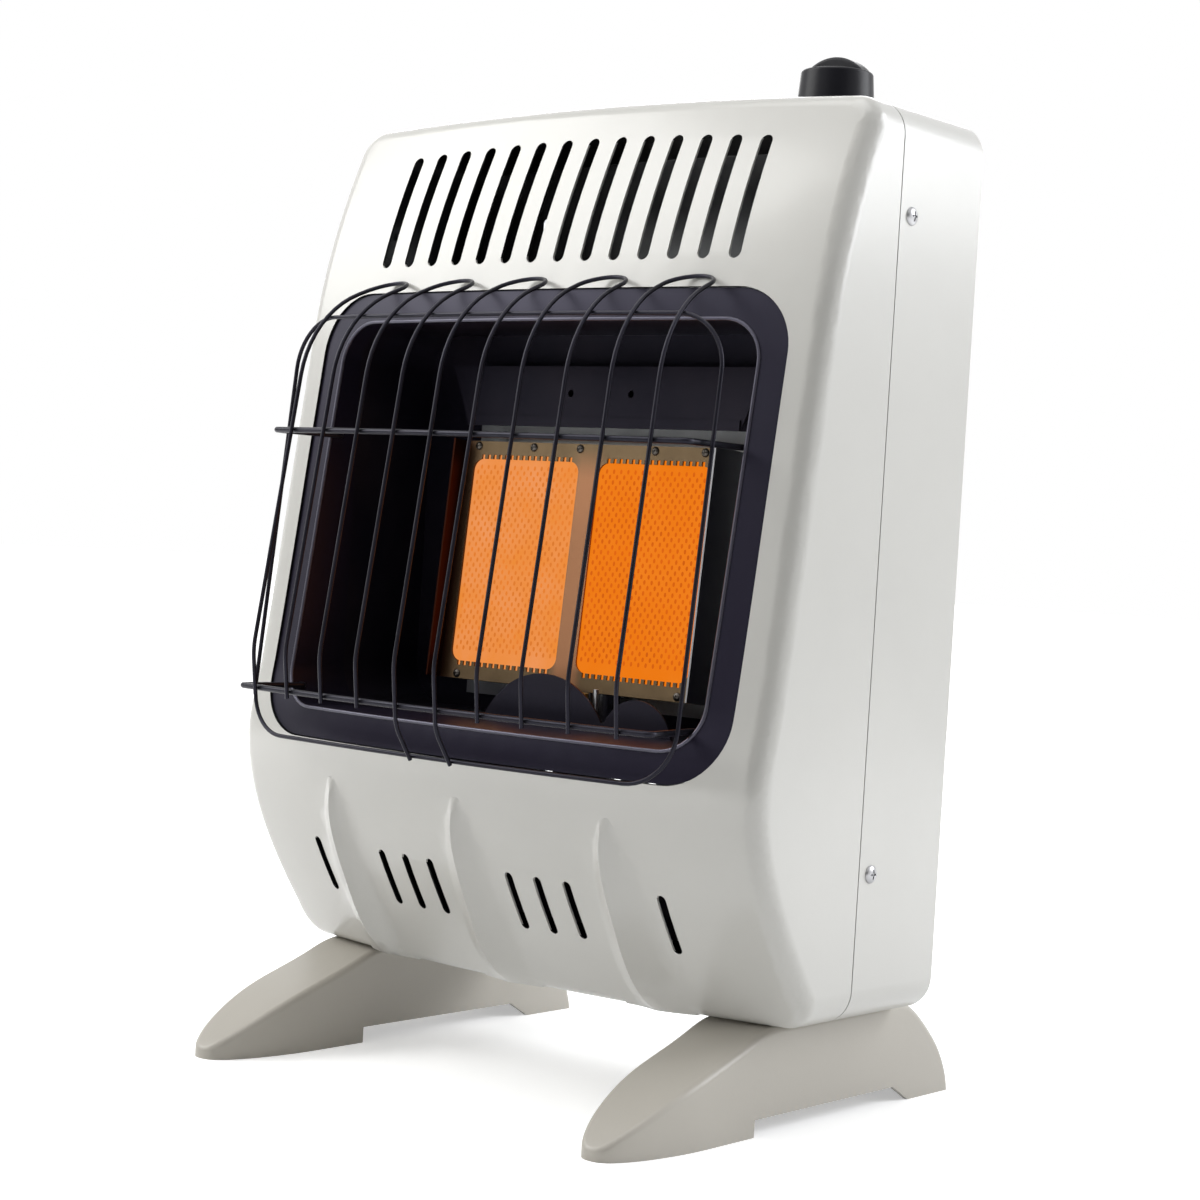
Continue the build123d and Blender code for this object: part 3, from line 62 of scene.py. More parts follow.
# ---------------------------------------------------------------- sizes and colours


class GuardSizes(bpy.types.PropertyGroup):
    wire: bpy.props.FloatProperty(
        name="Wire radius", description="Radius of the hairpins and of the frame wire",
        default=1.2 * MM, unit="LENGTH")
    rod: bpy.props.FloatProperty(
        name="Rod radius", description="Radius of the two cross rods", default=1.75 * MM, unit="LENGTH")
    pitch: bpy.props.FloatProperty(
        name="Wire pitch", description="Distance from leg to leg", default=30 * MM, unit="LENGTH")
    bow: bpy.props.FloatProperty(
        name="Bow", description="How far the outer legs stand behind the middle",
        default=8 * MM, unit="LENGTH")
    sides: bpy.props.IntProperty(name="Sides", description="Faces round a wire", default=14, min=6, max=32)
    colour: bpy.props.FloatVectorProperty(
        name="Wire colour", description="Black plating of the guard", subtype="COLOR", size=3,
        default=(0.006, 0.006, 0.008), min=0, max=1)


class BurnerLook(bpy.types.PropertyGroup):
    port_across: bpy.props.FloatProperty(
        name="Port pitch across", description="Distance between port clusters along a row",
        default=5.3 * MM, unit="LENGTH")
    port_up: bpy.props.FloatProperty(
        name="Port pitch up", description="Distance between port clusters in a column",
        default=6.3 * MM, unit="LENGTH")
    glow: bpy.props.FloatVectorProperty(
        name="Glow", description="Colour of the hot ceramic", subtype="COLOR", size=3,
        default=(0.80, 0.178, 0.004), min=0, max=1)
    ember: bpy.props.FloatVectorProperty(
        name="Ember", description="Colour inside the flame ports", subtype="COLOR", size=3,
        default=(0.63, 0.112, 0.004), min=0, max=1)
    strength: bpy.props.FloatProperty(
        name="Glow strength", description="Brightness of the plaques", default=1.0, min=0, max=10)
    steel: bpy.props.FloatVectorProperty(
        name="Frame steel", description="Heat-tinted sheet round the plaques", subtype="COLOR", size=3,
        default=(0.165, 0.115, 0.065), min=0, max=1)


class CabinetLook(bpy.types.PropertyGroup):
    enamel: bpy.props.FloatVectorProperty(
        name="Enamel", description="Cream enamel of the cabinet", subtype="COLOR", size=3,
        default=(0.60, 0.592, 0.558), min=0, max=1)
    foot: bpy.props.FloatVectorProperty(
        name="Foot plastic", description="Moulded plastic of the feet", subtype="COLOR", size=3,
        default=(0.48, 0.452, 0.40), min=0, max=1)
    surround: bpy.props.FloatVectorProperty(
        name="Surround enamel", description="Black enamel round the fire", subtype="COLOR", size=3,
        default=(0.010, 0.008, 0.016), min=0, max=1)
    knob: bpy.props.FloatVectorProperty(
        name="Knob", description="Moulded control knob", subtype="COLOR", size=3,
        default=(0.006, 0.006, 0.009), min=0, max=1)
    screw_sides: bpy.props.IntProperty(
        name="Screw sides", description="Faces round a screw head", default=20, min=8, max=48)


# ---------------------------------------------------------------- shader groups


def new_group(name, inputs, outputs):
    """An empty shader group with its sockets and its two end nodes."""
    group = bpy.data.node_groups.new(name, "ShaderNodeTree")
    for label, kind, value in inputs:
        socket = group.interface.new_socket(label, in_out="INPUT", socket_type=kind)
        socket.default_value = value
    for label, kind in outputs:
        group.interface.new_socket(label, in_out="OUTPUT", socket_type=kind)
    return group, group.nodes.new("NodeGroupInput"), group.nodes.new("NodeGroupOutput")


def link(tree, a, out_name, b, in_name):
    tree.links.new(a.outputs[out_name], b.inputs[in_name])


def noise_node(tree, coords, scale, detail=3.0, rough=0.55):
    """A noise texture that reads the given coordinates."""
    noise = tree.nodes.new("ShaderNodeTexNoise")
    noise.inputs["Scale"].default_value = scale
    noise.inputs["Detail"].default_value = detail
    noise.inputs["Roughness"].default_value = rough
    tree.links.new(coords, noise.inputs["Vector"])
    return noise


def ramp_node(tree, source, low, high):
    """A ramp from black to white between two values."""
    ramp = tree.nodes.new("ShaderNodeValToRGB")
    ramp.color_ramp.elements[0].position = low
    ramp.color_ramp.elements[1].position = high
    tree.links.new(source, ramp.inputs["Fac"])
    return ramp


def feed(tree, socket, value):
    """Links a socket or sets a plain value on an input."""
    if isinstance(value, bpy.types.NodeSocket):
        tree.links.new(value, socket)
    else:
        socket.default_value = value


def mix_colours(tree, factor, a, b, blend="MIX"):
    """Mixes two colours; each argument is a socket or a plain value."""
    mix = tree.nodes.new("ShaderNodeMix")
    mix.data_type = "RGBA"
    mix.blend_type = blend
    for index, value in ((0, factor), (6, a), (7, b)):
        feed(tree, mix.inputs[index], value)
    return mix.outputs[2]


def math_node(tree, operation, *values):
    """The result of a sum on sockets or plain values."""
    node = tree.nodes.new("ShaderNodeMath")
    node.operation = operation
    for index, value in enumerate(values):
        feed(tree, node.inputs[index], value)
    return node.outputs["Value"]


def range_node(tree, source, low, high, start=0.0, end=1.0):
    """Maps a value from one range to another and holds it at the ends."""
    node = tree.nodes.new("ShaderNodeMapRange")
    for label, value in (("Value", source), ("From Min", low), ("From Max", high),
                         ("To Min", start), ("To Max", end)):
        feed(tree, node.inputs[label], value)
    return node.outputs["Result"]


def vector_node(tree, x=0.0, y=0.0, z=0.0):
    """Joins three sockets or plain values to a vector."""
    node = tree.nodes.new("ShaderNodeCombineXYZ")
    for index, value in enumerate((x, y, z)):
        feed(tree, node.inputs[index], value)
    return node.outputs["Vector"]


def mottle_group():
    """Slow change of tone over a surface, with a fine skin ripple for its bump."""
    group, start, end = new_group(
        "surface_mottle",
        [("Coordinates", "NodeSocketVector", (0, 0, 0)), ("Tone", "NodeSocketColor", (1, 1, 1, 1)),
         ("Shade", "NodeSocketColor", (0.8, 0.8, 0.8, 1)), ("Patch scale", "NodeSocketFloat", 9.0),
         ("Ripple scale", "NodeSocketFloat", 420.0)],
        [("Colour", "NodeSocketColor"), ("Mask", "NodeSocketFloat"), ("Height", "NodeSocketFloat")])
    patches = group.nodes.new("ShaderNodeTexNoise")
    patches.inputs["Detail"].default_value = 4.0
    ripple = group.nodes.new("ShaderNodeTexNoise")
    ripple.inputs["Detail"].default_value = 2.0
    link(group, start, "Coordinates", patches, "Vector")
    link(group, start, "Patch scale", patches, "Scale")
    link(group, start, "Coordinates", ripple, "Vector")
    link(group, start, "Ripple scale", ripple, "Scale")
    ramp = ramp_node(group, patches.outputs["Fac"], 0.35, 0.7)
    colour = mix_colours(group, ramp.outputs["Color"], start.outputs["Tone"], start.outputs["Shade"])
    group.links.new(colour, end.inputs["Colour"])
    link(group, ramp, "Color", end, "Mask")
    link(group, ripple, "Fac", end, "Height")
    return group


def brushed_group():
    """Drawn or rolled metal: streaks along one axis with slightly uneven tone and gloss."""
    group, start, end = new_group(
        "rolled_metal",
        [("Coordinates", "NodeSocketVector", (0, 0, 0)), ("Metal", "NodeSocketColor", (0.6, 0.6, 0.6, 1)),
         ("Stain", "NodeSocketColor", (0.4, 0.4, 0.4, 1)), ("Stretch", "NodeSocketVector", (8, 8, 600)),
         ("Smooth", "NodeSocketFloat", 0.24), ("Rough", "NodeSocketFloat", 0.46)],
        [("Colour", "NodeSocketColor"), ("Roughness", "NodeSocketFloat"), ("Height", "NodeSocketFloat")])
    scaled = group.nodes.new("ShaderNodeVectorMath")
    scaled.operation = "MULTIPLY"
    link(group, start, "Coordinates", scaled, 0)
    link(group, start, "Stretch", scaled, 1)
    streaks = noise_node(group, scaled.outputs[0], 1.0, 4.0, 0.6)
    stains = noise_node(group, start.outputs["Coordinates"], 28.0, 5.0, 0.6)
    mask = ramp_node(group, stains.outputs["Fac"], 0.42, 0.72)
    colour = mix_colours(group, mask.outputs["Color"], start.outputs["Metal"], start.outputs["Stain"])
    rough = range_node(group, streaks.outputs["Fac"], 0.0, 1.0,
                       start.outputs["Smooth"], start.outputs["Rough"])
    group.links.new(colour, end.inputs["Colour"])
    group.links.new(rough, end.inputs["Roughness"])
    link(group, streaks, "Fac", end, "Height")
    return group


def soot_group():
    """Heat and soot over high-temperature enamel, stronger in slow patches."""
    group, start, end = new_group(
        "heat_soot",
        [("Coordinates", "NodeSocketVector", (0, 0, 0)), ("Enamel", "NodeSocketColor", (0.02, 0.02, 0.02, 1)),
         ("Soot", "NodeSocketColor", (0.01, 0.01, 0.01, 1)), ("Scale", "NodeSocketFloat", 14.0)],
        [("Colour", "NodeSocketColor"), ("Roughness", "NodeSocketFloat"), ("Height", "NodeSocketFloat")])
    cloud = group.nodes.new("ShaderNodeTexNoise")
    cloud.inputs["Detail"].default_value = 6.0
    link(group, start, "Coordinates", cloud, "Vector")
    link(group, start, "Scale", cloud, "Scale")
    grain = noise_node(group, start.outputs["Coordinates"], 900.0, 2.0)
    mask = ramp_node(group, cloud.outputs["Fac"], 0.4, 0.68)
    colour = mix_colours(group, mask.outputs["Color"], start.outputs["Enamel"], start.outputs["Soot"])
    rough = range_node(group, cloud.outputs["Fac"], 0.0, 1.0, 0.22, 0.5)
    group.links.new(colour, end.inputs["Colour"])
    group.links.new(rough, end.inputs["Roughness"])
    link(group, grain, "Fac", end, "Height")
    return group


GROUPS = {}


def shared(name, maker):
    """The shader group of that name, made the first time it is asked for."""
    if name not in GROUPS:
        GROUPS[name] = maker()
    return GROUPS[name]


def blank_material(name):
    """A material with its shader, its output and the piece's own coordinates."""
    material = bpy.data.materials.new(name)
    material.use_nodes = True
    tree = material.node_tree
    shader = tree.nodes["Principled BSDF"]
    coords = tree.nodes.new("ShaderNodeTexCoord")
    return material, tree, shader, coords.outputs["Object"]


def bump(tree, shader, height, strength, distance):
    """Feeds a height into the shader's normal."""
    node = tree.nodes.new("ShaderNodeBump")
    node.inputs["Strength"].default_value = strength
    node.inputs["Distance"].default_value = distance
    tree.links.new(height, node.inputs["Height"])
    link(tree, node, "Normal", shader, "Normal")


def add_group(tree, group, coords, values):
    """Places a shared group in a material with its own values."""
    node = tree.nodes.new("ShaderNodeGroup")
    node.node_tree = group
    tree.links.new(coords, node.inputs["Coordinates"])
    for label, value in values.items():
        node.inputs[label].default_value = value
    return node


def opaque(colour, gain=1.0):
    """An RGBA value from an RGB one."""
    return tuple(min(c * gain, 1.0) for c in colour) + (1.0,)


def enamel_material(name, colour, roughness, coat, ripple=0.035, shade=0.955, gloss=0.5):
    """Sprayed enamel or moulded plastic: even tone with a faint skin ripple."""
    material, tree, shader, coords = blank_material(name)
    skin = add_group(tree, shared("mottle", mottle_group), coords,
                     {"Tone": opaque(colour), "Shade": opaque(colour, shade)})
    link(tree, skin, "Colour", shader, "Base Color")
    bump(tree, shader, skin.outputs["Height"], ripple, 0.0006)
    shader.inputs["Roughness"].default_value = roughness
    shader.inputs["Specular IOR Level"].default_value = gloss
    shader.inputs["Coat Weight"].default_value = coat
    shader.inputs["Coat Roughness"].default_value = 0.17
    return material


def cabinet_enamel_with_painted_shade(name, colour):
    """Gloss enamel outside, and painted shade on the inner faces: near black, standing in for the shade in
    the closed cabinet.
    """
    material = enamel_material(name, colour, 0.32, 0.5)
    tree = material.node_tree
    shader = tree.nodes["Principled BSDF"]
    skin = shader.inputs["Base Color"].links[0].from_socket
    shade_faces = tree.nodes.new("ShaderNodeAttribute")
    shade_faces.attribute_name = "inside"
    # painted shade: inner faces are coloured near black to stand in for the shade inside the closed cabinet
    painted_inside_shade = mix_colours(tree, shade_faces.outputs["Fac"], skin, (0.012, 0.012, 0.013, 1))
    tree.links.new(painted_inside_shade, shader.inputs["Base Color"])
    return material


def metal_material(name, colour, stain, stretch=(8, 8, 600), height=0.05, rough=(0.24, 0.46)):
    """Rolled, drawn or turned metal."""
    material, tree, shader, coords = blank_material(name)
    metal = add_group(tree, shared("rolled", brushed_group), coords,
                      {"Metal": opaque(colour), "Stain": opaque(stain), "Stretch": stretch,
                       "Smooth": rough[0], "Rough": rough[1]})
    link(tree, metal, "Colour", shader, "Base Color")
    link(tree, metal, "Roughness", shader, "Roughness")
    bump(tree, shader, metal.outputs["Height"], height, 0.0003)
    shader.inputs["Metallic"].default_value = 1.0
    return material


def black_enamel_material(name, colour, soot, gloss, scale=14.0):
    """High-temperature enamel with heat and soot on it."""
    material, tree, shader, coords = blank_material(name)
    skin = add_group(tree, shared("soot", soot_group), coords,
                     {"Enamel": opaque(colour), "Soot": opaque(soot), "Scale": scale})
    link(tree, skin, "Colour", shader, "Base Color")
    link(tree, skin, "Roughness", shader, "Roughness")
    bump(tree, shader, skin.outputs["Height"], 0.06, 0.0004)
    shader.inputs["Specular IOR Level"].default_value = gloss
    shader.inputs["Specular Tint"].default_value = (0.74, 0.72, 1.0, 1)
    return material


def heated_steel_with_painted_light(name, steel):
    """Burner sheet: straw tint, with painted light on it: a red-brown painted reflection of the glow to the
    left, a pale painted highlight on its right edge, and warm painted glow light between the plaques.
    """
    material = metal_material(name, steel, tuple(c * 0.72 for c in steel), (500, 10, 10), 0.05, (0.36, 0.55))
    tree = material.node_tree
    shader = tree.nodes["Principled BSDF"]
    plain = shader.inputs["Base Color"].links[0].from_socket
    coords = next(n for n in tree.nodes if n.type == "TEX_COORD").outputs["Object"]
    axes = tree.nodes.new("ShaderNodeSeparateXYZ")
    tree.links.new(coords, axes.inputs["Vector"])
    x, z = axes.outputs["X"], axes.outputs["Z"]
    # painted reflection: the left cheek turns dark red-brown to stand in for the glow reflected in it
    glow_reflection_left = mix_colours(tree, range_node(tree, x, -0.084, -0.0985), plain, (0.04, 0.011, 0.006, 1))
    # painted highlight: a pale grey strip on the right edge stands in for the bright reflection along it
    edge_highlight = mix_colours(tree, range_node(tree, x, 0.0935, 0.0955), glow_reflection_left, (0.30, 0.30, 0.31, 1))
    # painted light: the strip between the plaques below the comb turns warm to stand in for the glow falling
    # on it
    between = range_node(tree, math_node(tree, "ABSOLUTE", x), 0.013, 0.006)
    below_comb = range_node(tree, z, 0.368, 0.350)
    glow_lit_divider = math_node(tree, "MULTIPLY", between, below_comb)
    tree.links.new(mix_colours(tree, glow_lit_divider, edge_highlight, (0.34, 0.165, 0.085, 1)), shader.inputs["Base Color"])
    return material


def plaque_material(name, glow, strength, paleness):
    """Hot perforated ceramic: it glows, and is paler and cooler in slow patches."""
    material, tree, shader, coords = blank_material(name)
    cloud = noise_node(tree, coords, 34.0, 4.0)
    fine = noise_node(tree, coords, 900.0, 2.0)
    hot = mix_colours(tree, ramp_node(tree, cloud.outputs["Fac"], 0.35, 0.7).outputs["Color"],
                      opaque(glow), (min(glow[0] * 1.02, 1), glow[1] * paleness, glow[2] * paleness * 2.2, 1))
    clay = mix_colours(tree, 1.0, hot, (0.10, 0.10, 0.08, 1), "MULTIPLY")
    tree.links.new(clay, shader.inputs["Base Color"])
    tree.links.new(hot, shader.inputs["Emission Color"])
    shader.inputs["Emission Strength"].default_value = strength
    shader.inputs["Roughness"].default_value = 0.9
    shader.inputs["Specular IOR Level"].default_value = 0.1
    bump(tree, shader, fine.outputs["Fac"], 0.3, 0.0005)
    return material


def port_material(name, ember, strength):
    """The dull red inside the flame ports."""
    material, tree, shader, coords = blank_material(name)
    flicker = noise_node(tree, coords, 60.0, 3.0)
    deep = mix_colours(tree, flicker.outputs["Fac"], opaque(ember, 0.75), opaque(ember, 1.3))
    clay = mix_colours(tree, 1.0, deep, (0.10, 0.10, 0.08, 1), "MULTIPLY")
    tree.links.new(clay, shader.inputs["Base Color"])
    tree.links.new(deep, shader.inputs["Emission Color"])
    shader.inputs["Emission Strength"].default_value = strength
    shader.inputs["Roughness"].default_value = 0.95
    shader.inputs["Specular IOR Level"].default_value = 0.1
    return material


FINISHES = {}


def tinted(colour, red, green, blue):
    """A colour with each channel changed by its own factor."""
    return (colour[0] * red, colour[1] * green, colour[2] * blue)


def sprayed_and_moulded(look):
    """Makers of the enamel, plastic, rubber and fibre finishes."""
    return {
        "cream_enamel_shaded_inside": lambda n: cabinet_enamel_with_painted_shade(n, look.enamel),
        "foot_moulding": lambda n: enamel_material(n, look.foot, 0.42, 0.12, 0.07),
        "knob_moulding": lambda n: enamel_material(n, look.knob, 0.34, 0.0, 0.06, 1.3, 0.18),
        "black_moulding": lambda n: enamel_material(n, (0.02, 0.02, 0.022), 0.5, 0.0, 0.08, 1.2, 0.3),
        "silicone_lead": lambda n: enamel_material(n, (0.42, 0.05, 0.03), 0.55, 0.0, 0.05),
        "glazed_electrode": lambda n: enamel_material(n, (0.78, 0.74, 0.66), 0.25, 0.4, 0.02),
        "fibre_sheet": lambda n: enamel_material(n, (0.70, 0.68, 0.62), 0.95, 0.0, 0.4, 0.85),
    }


def black_enamels(look, guard):
    """Makers of the high-temperature black finishes: enamel, soot, gloss and patch size."""
    values = {
        "surround_enamel": (look.surround, (0.007, 0.006, 0.011), 0.27, 6.0),
        # painted highlight: the throat lip is a lighter grey than the surround's black to stand in for the
        # light line along it; its gloss adds real highlights
        "lip_enamel_and_highlight": ((0.05, 0.048, 0.055), (0.03, 0.028, 0.033), 0.9, 6.0),
        "firebox_enamel": ((0.006, 0.005, 0.009), (0.012, 0.009, 0.012), 0.3, 14.0),
        "guard_plating": (guard.colour, (0.012, 0.011, 0.014), 0.25, 40.0),
    }
    return {name: lambda n, v=v: black_enamel_material(n, *v) for name, v in values.items()}


def bare_metals():
    """Makers of the bare metals: metal, stain, stretch of the streaks and their height."""
    values = {
        "galvanised_sheet": ((0.43, 0.44, 0.45), (0.38, 0.39, 0.40), (60, 60, 60)),
        # painted shade: the heat shield's sheet is dark grey to stand in for the shade inside the cabinet
        "shade_darkened_sheet": ((0.10, 0.10, 0.105), (0.07, 0.07, 0.075), (60, 60, 60)),
        "tempered_screw": ((0.11, 0.10, 0.09), (0.07, 0.06, 0.05), (200, 200, 200)),
        "bright_screw": ((0.42, 0.42, 0.43), (0.30, 0.30, 0.31), (200, 200, 200)),
        "turned_brass": ((0.66, 0.45, 0.16), (0.45, 0.28, 0.10), (30, 30, 700)),
        "drawn_pipe": ((0.60, 0.61, 0.62), (0.45, 0.46, 0.47), (700, 700, 12)),
        "zinc_casting": ((0.36, 0.37, 0.38), (0.26, 0.27, 0.28), (160, 160, 160), 0.4),
        "blued_steel": ((0.45, 0.45, 0.47), (0.30, 0.29, 0.28), (300, 300, 300)),
    }
    return {name: lambda n, v=v: metal_material(n, *v) for name, v in values.items()}


def burner_finishes(burner):
    """Makers of the heated sheet, the glowing plaques and the flame ports."""
    power = burner.strength
    pale_glow = tinted(burner.glow, 0.99, 1.35, 9.0)
    pale_ember = tinted(burner.ember, 1.12, 1.7, 7.0)
    return {
        "straw_steel_painted_light": lambda n: heated_steel_with_painted_light(n, burner.steel),
        "plaque_right_glow": lambda n: plaque_material(n, burner.glow, power, 1.12),
        "plaque_left_glow": lambda n: plaque_material(n, pale_glow, power, 1.2),
        "port_right": lambda n: port_material(n, burner.ember, power),
        "port_left": lambda n: port_material(n, pale_ember, power),
    }


def finish(name):
    """The material of a finish, made once."""
    if name not in FINISHES:
        scene = bpy.context.scene
        makers = {**sprayed_and_moulded(scene.heater_cabinet), **bare_metals(),
                  **black_enamels(scene.heater_cabinet, scene.heater_guard),
                  **burner_finishes(scene.heater_burner)}
        FINISHES[name] = makers[name](name)
    return FINISHES[name]


# ---------------------------------------------------------------- meshes


def body_of_node(node):
    """The CAD body that a node belongs to."""
    for body, nodes in frame["record"]["behaviour"]["bodies"].items():
        if node in nodes:
            return body
    raise RuntimeError(f"node {node} is in no body")


def place(name, mesh, material, node, replaced=True):
    """Puts a finished mesh in the scene, on its body and in the place of its CAD node."""
    mesh.materials.clear()
    mesh.materials.append(material)
    piece = bpy.data.objects.new(name, mesh)
    bpy.context.collection.objects.link(piece)
    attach(piece, body_of_node(node))
    if replaced:
        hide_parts(node)
    return piece


def smooth_edges(mesh, sharp_degrees):
    """Merges the mesh's loose triangles and marks the edges that stay sharp."""
    work = bmesh.new()
    work.from_mesh(mesh)
    bmesh.ops.remove_doubles(work, verts=work.verts, dist=2e-6)
    limit = math.radians(sharp_degrees)
    for face in work.faces:
        face.smooth = True
    for edge in work.edges:
        edge.smooth = len(edge.link_faces) == 2 and edge.calc_face_angle(0) < limit
    work.to_mesh(mesh)
    work.free()


def dressed(node, name, finish_name, sharp_degrees=32):
    """A smooth copy of a CAD node with its finish."""
    mesh = frame["nodes"][node].data.copy()
    mesh.name = name
    smooth_edges(mesh, sharp_degrees)
    piece = place(name, mesh, finish(finish_name), node)
    even = piece.modifiers.new("Even shading", "WEIGHTED_NORMAL")
    even.keep_sharp = True
    return piece


def mark_shaded_faces(mesh):
    """Marks the faces that look towards the middle of the cabinet; these get painted shade."""
    middle = Vector((0, 0.03, 0.31))
    inside = mesh.attributes.new("inside", "FLOAT", "FACE")
    for face, item in zip(mesh.polygons, inside.data):
        item.value = 1.0 if face.normal.dot(face.center - middle) < -0.012 else 0.0


# ---------------------------------------------------------------- geometry node trees


def geometry_tree(name, inputs):
    """An empty geometry tree with named inputs and its two end nodes."""
    tree = bpy.data.node_groups.new(name, "GeometryNodeTree")
    tree.interface.new_socket("Geometry", in_out="INPUT", socket_type="NodeSocketGeometry")
    for label, kind, value in inputs:
        socket = tree.interface.new_socket(label, in_out="INPUT", socket_type=kind)
        if value is not None:
            socket.default_value = value
    tree.interface.new_socket("Geometry", in_out="OUTPUT", socket_type="NodeSocketGeometry")
    return tree, tree.nodes.new("NodeGroupInput"), tree.nodes.new("NodeGroupOutput")


def close_tree(tree, start, geometry, end):
    """Ends a tree in Realize Instances and Set Material."""
    real = tree.nodes.new("GeometryNodeRealizeInstances")
    paint = tree.nodes.new("GeometryNodeSetMaterial")
    tree.links.new(geometry, real.inputs["Geometry"])
    link(tree, real, "Geometry", paint, "Geometry")
    link(tree, start, "Finish", paint, "Material")
    link(tree, paint, "Geometry", end, "Geometry")


def run_tree(tree, carrier_mesh, values):
    """Evaluates a tree on a carrier mesh and returns the plain mesh it makes."""
    carrier = bpy.data.objects.new("carrier", carrier_mesh)
    bpy.context.collection.objects.link(carrier)
    modifier = carrier.modifiers.new("Shape", "NODES")
    modifier.node_group = tree
    sockets = {s.name: s.identifier for s in tree.interface.items_tree if s.in_out == "INPUT"}
    for label, value in values.items():
        modifier[sockets[label]] = value
    bpy.context.view_layer.update()
    graph = bpy.context.evaluated_depsgraph_get()
    mesh = bpy.data.meshes.new_from_object(carrier.evaluated_get(graph))
    carrier.modifiers.remove(modifier)
    bpy.data.objects.remove(carrier)
    if len(mesh.polygons) == 0:
        raise RuntimeError(f"{tree.name} made no faces")
    smooth_edges(mesh, 40)
    return mesh


def moved(tree, geometry, **sockets):
    """A geometry moved, turned or scaled by the given sockets."""
    node = tree.nodes.new("GeometryNodeTransform")
    tree.links.new(geometry, node.inputs["Geometry"])
    for label, source in sockets.items():
        tree.links.new(source, node.inputs[label])
    return node.outputs["Geometry"]


def bar_tree():
    """Round bar swept along every line of the carrier, with closed ends."""
    tree, start, end = geometry_tree("round_bar", [
        ("Radius", "NodeSocketFloat", 0.001), ("Sides", "NodeSocketInt", 12),
        ("Finish", "NodeSocketMaterial", None)])
    line = tree.nodes.new("GeometryNodeMeshToCurve")
    section = tree.nodes.new("GeometryNodeCurvePrimitiveCircle")
    sweep = tree.nodes.new("GeometryNodeCurveToMesh")
    sweep.inputs["Fill Caps"].default_value = True
    link(tree, start, "Geometry", line, "Mesh")
    link(tree, start, "Radius", section, "Radius")
    link(tree, start, "Sides", section, "Resolution")
    link(tree, line, "Curve", sweep, "Curve")
    link(tree, section, "Curve", sweep, "Profile Curve")
    close_tree(tree, start, sweep.outputs["Mesh"], end)
    return tree


def screw_tree():
    """A pan-head screw with a cross recess on every point, turned to the point's aim."""
    tree, start, end = geometry_tree("pan_screws", [
        ("Head radius", "NodeSocketFloat", 0.005), ("Head rise", "NodeSocketFloat", 0.0022),
        ("Shank radius", "NodeSocketFloat", 0.0018), ("Shank length", "NodeSocketFloat", 0.006),
        ("Sides", "NodeSocketInt", 20), ("Finish", "NodeSocketMaterial", None)])
    radius, rise = start.outputs["Head radius"], start.outputs["Head rise"]
    dome = tree.nodes.new("GeometryNodeMeshUVSphere")
    dome.inputs["Rings"].default_value = 10
    link(tree, start, "Sides", dome, "Segments")
    tree.links.new(radius, dome.inputs["Radius"])
    flatten = vector_node(tree, 1.0, 1.0, math_node(tree, "DIVIDE", rise, radius))
    # cross recess: two bars sunk into the crown
    bar_length = math_node(tree, "MULTIPLY", radius, 1.05)
    bar_width = math_node(tree, "MULTIPLY", radius, 0.22)
    cut = tree.nodes.new("GeometryNodeMeshBoolean")
    cut.operation = "DIFFERENCE"
    tree.links.new(moved(tree, dome.outputs["Mesh"], Scale=flatten), cut.inputs["Mesh 1"])
    for wide, deep in ((bar_length, bar_width), (bar_width, bar_length)):
        bar = tree.nodes.new("GeometryNodeMeshCube")
        tree.links.new(vector_node(tree, wide, deep, rise), bar.inputs["Size"])
        seated = moved(tree, bar.outputs["Mesh"], Translation=vector_node(tree, z=rise))
        tree.links.new(seated, cut.inputs["Mesh 2"])
    shank = tree.nodes.new("GeometryNodeMeshCylinder")
    shank.inputs["Vertices"].default_value = 12
    link(tree, start, "Shank radius", shank, "Radius")
    link(tree, start, "Shank length", shank, "Depth")
    drop = vector_node(tree, z=math_node(tree, "MULTIPLY", start.outputs["Shank length"], -0.5))
    whole = tree.nodes.new("GeometryNodeJoinGeometry")
    tree.links.new(cut.outputs["Mesh"], whole.inputs["Geometry"])
    tree.links.new(moved(tree, shank.outputs["Mesh"], Translation=drop), whole.inputs["Geometry"])
    aim = tree.nodes.new("GeometryNodeInputNamedAttribute")
    aim.data_type = "FLOAT_VECTOR"
    aim.inputs["Name"].default_value = "aim"
    turn = tree.nodes.new("FunctionNodeAlignRotationToVector")
    turn.axis = "Z"
    tree.links.new(aim.outputs["Attribute"], turn.inputs["Vector"])
    points = tree.nodes.new("GeometryNodeInstanceOnPoints")
    link(tree, start, "Geometry", points, "Points")
    link(tree, whole, "Geometry", points, "Instance")
    link(tree, turn, "Rotation", points, "Rotation")
    close_tree(tree, start, points.outputs["Instances"], end)
    return tree


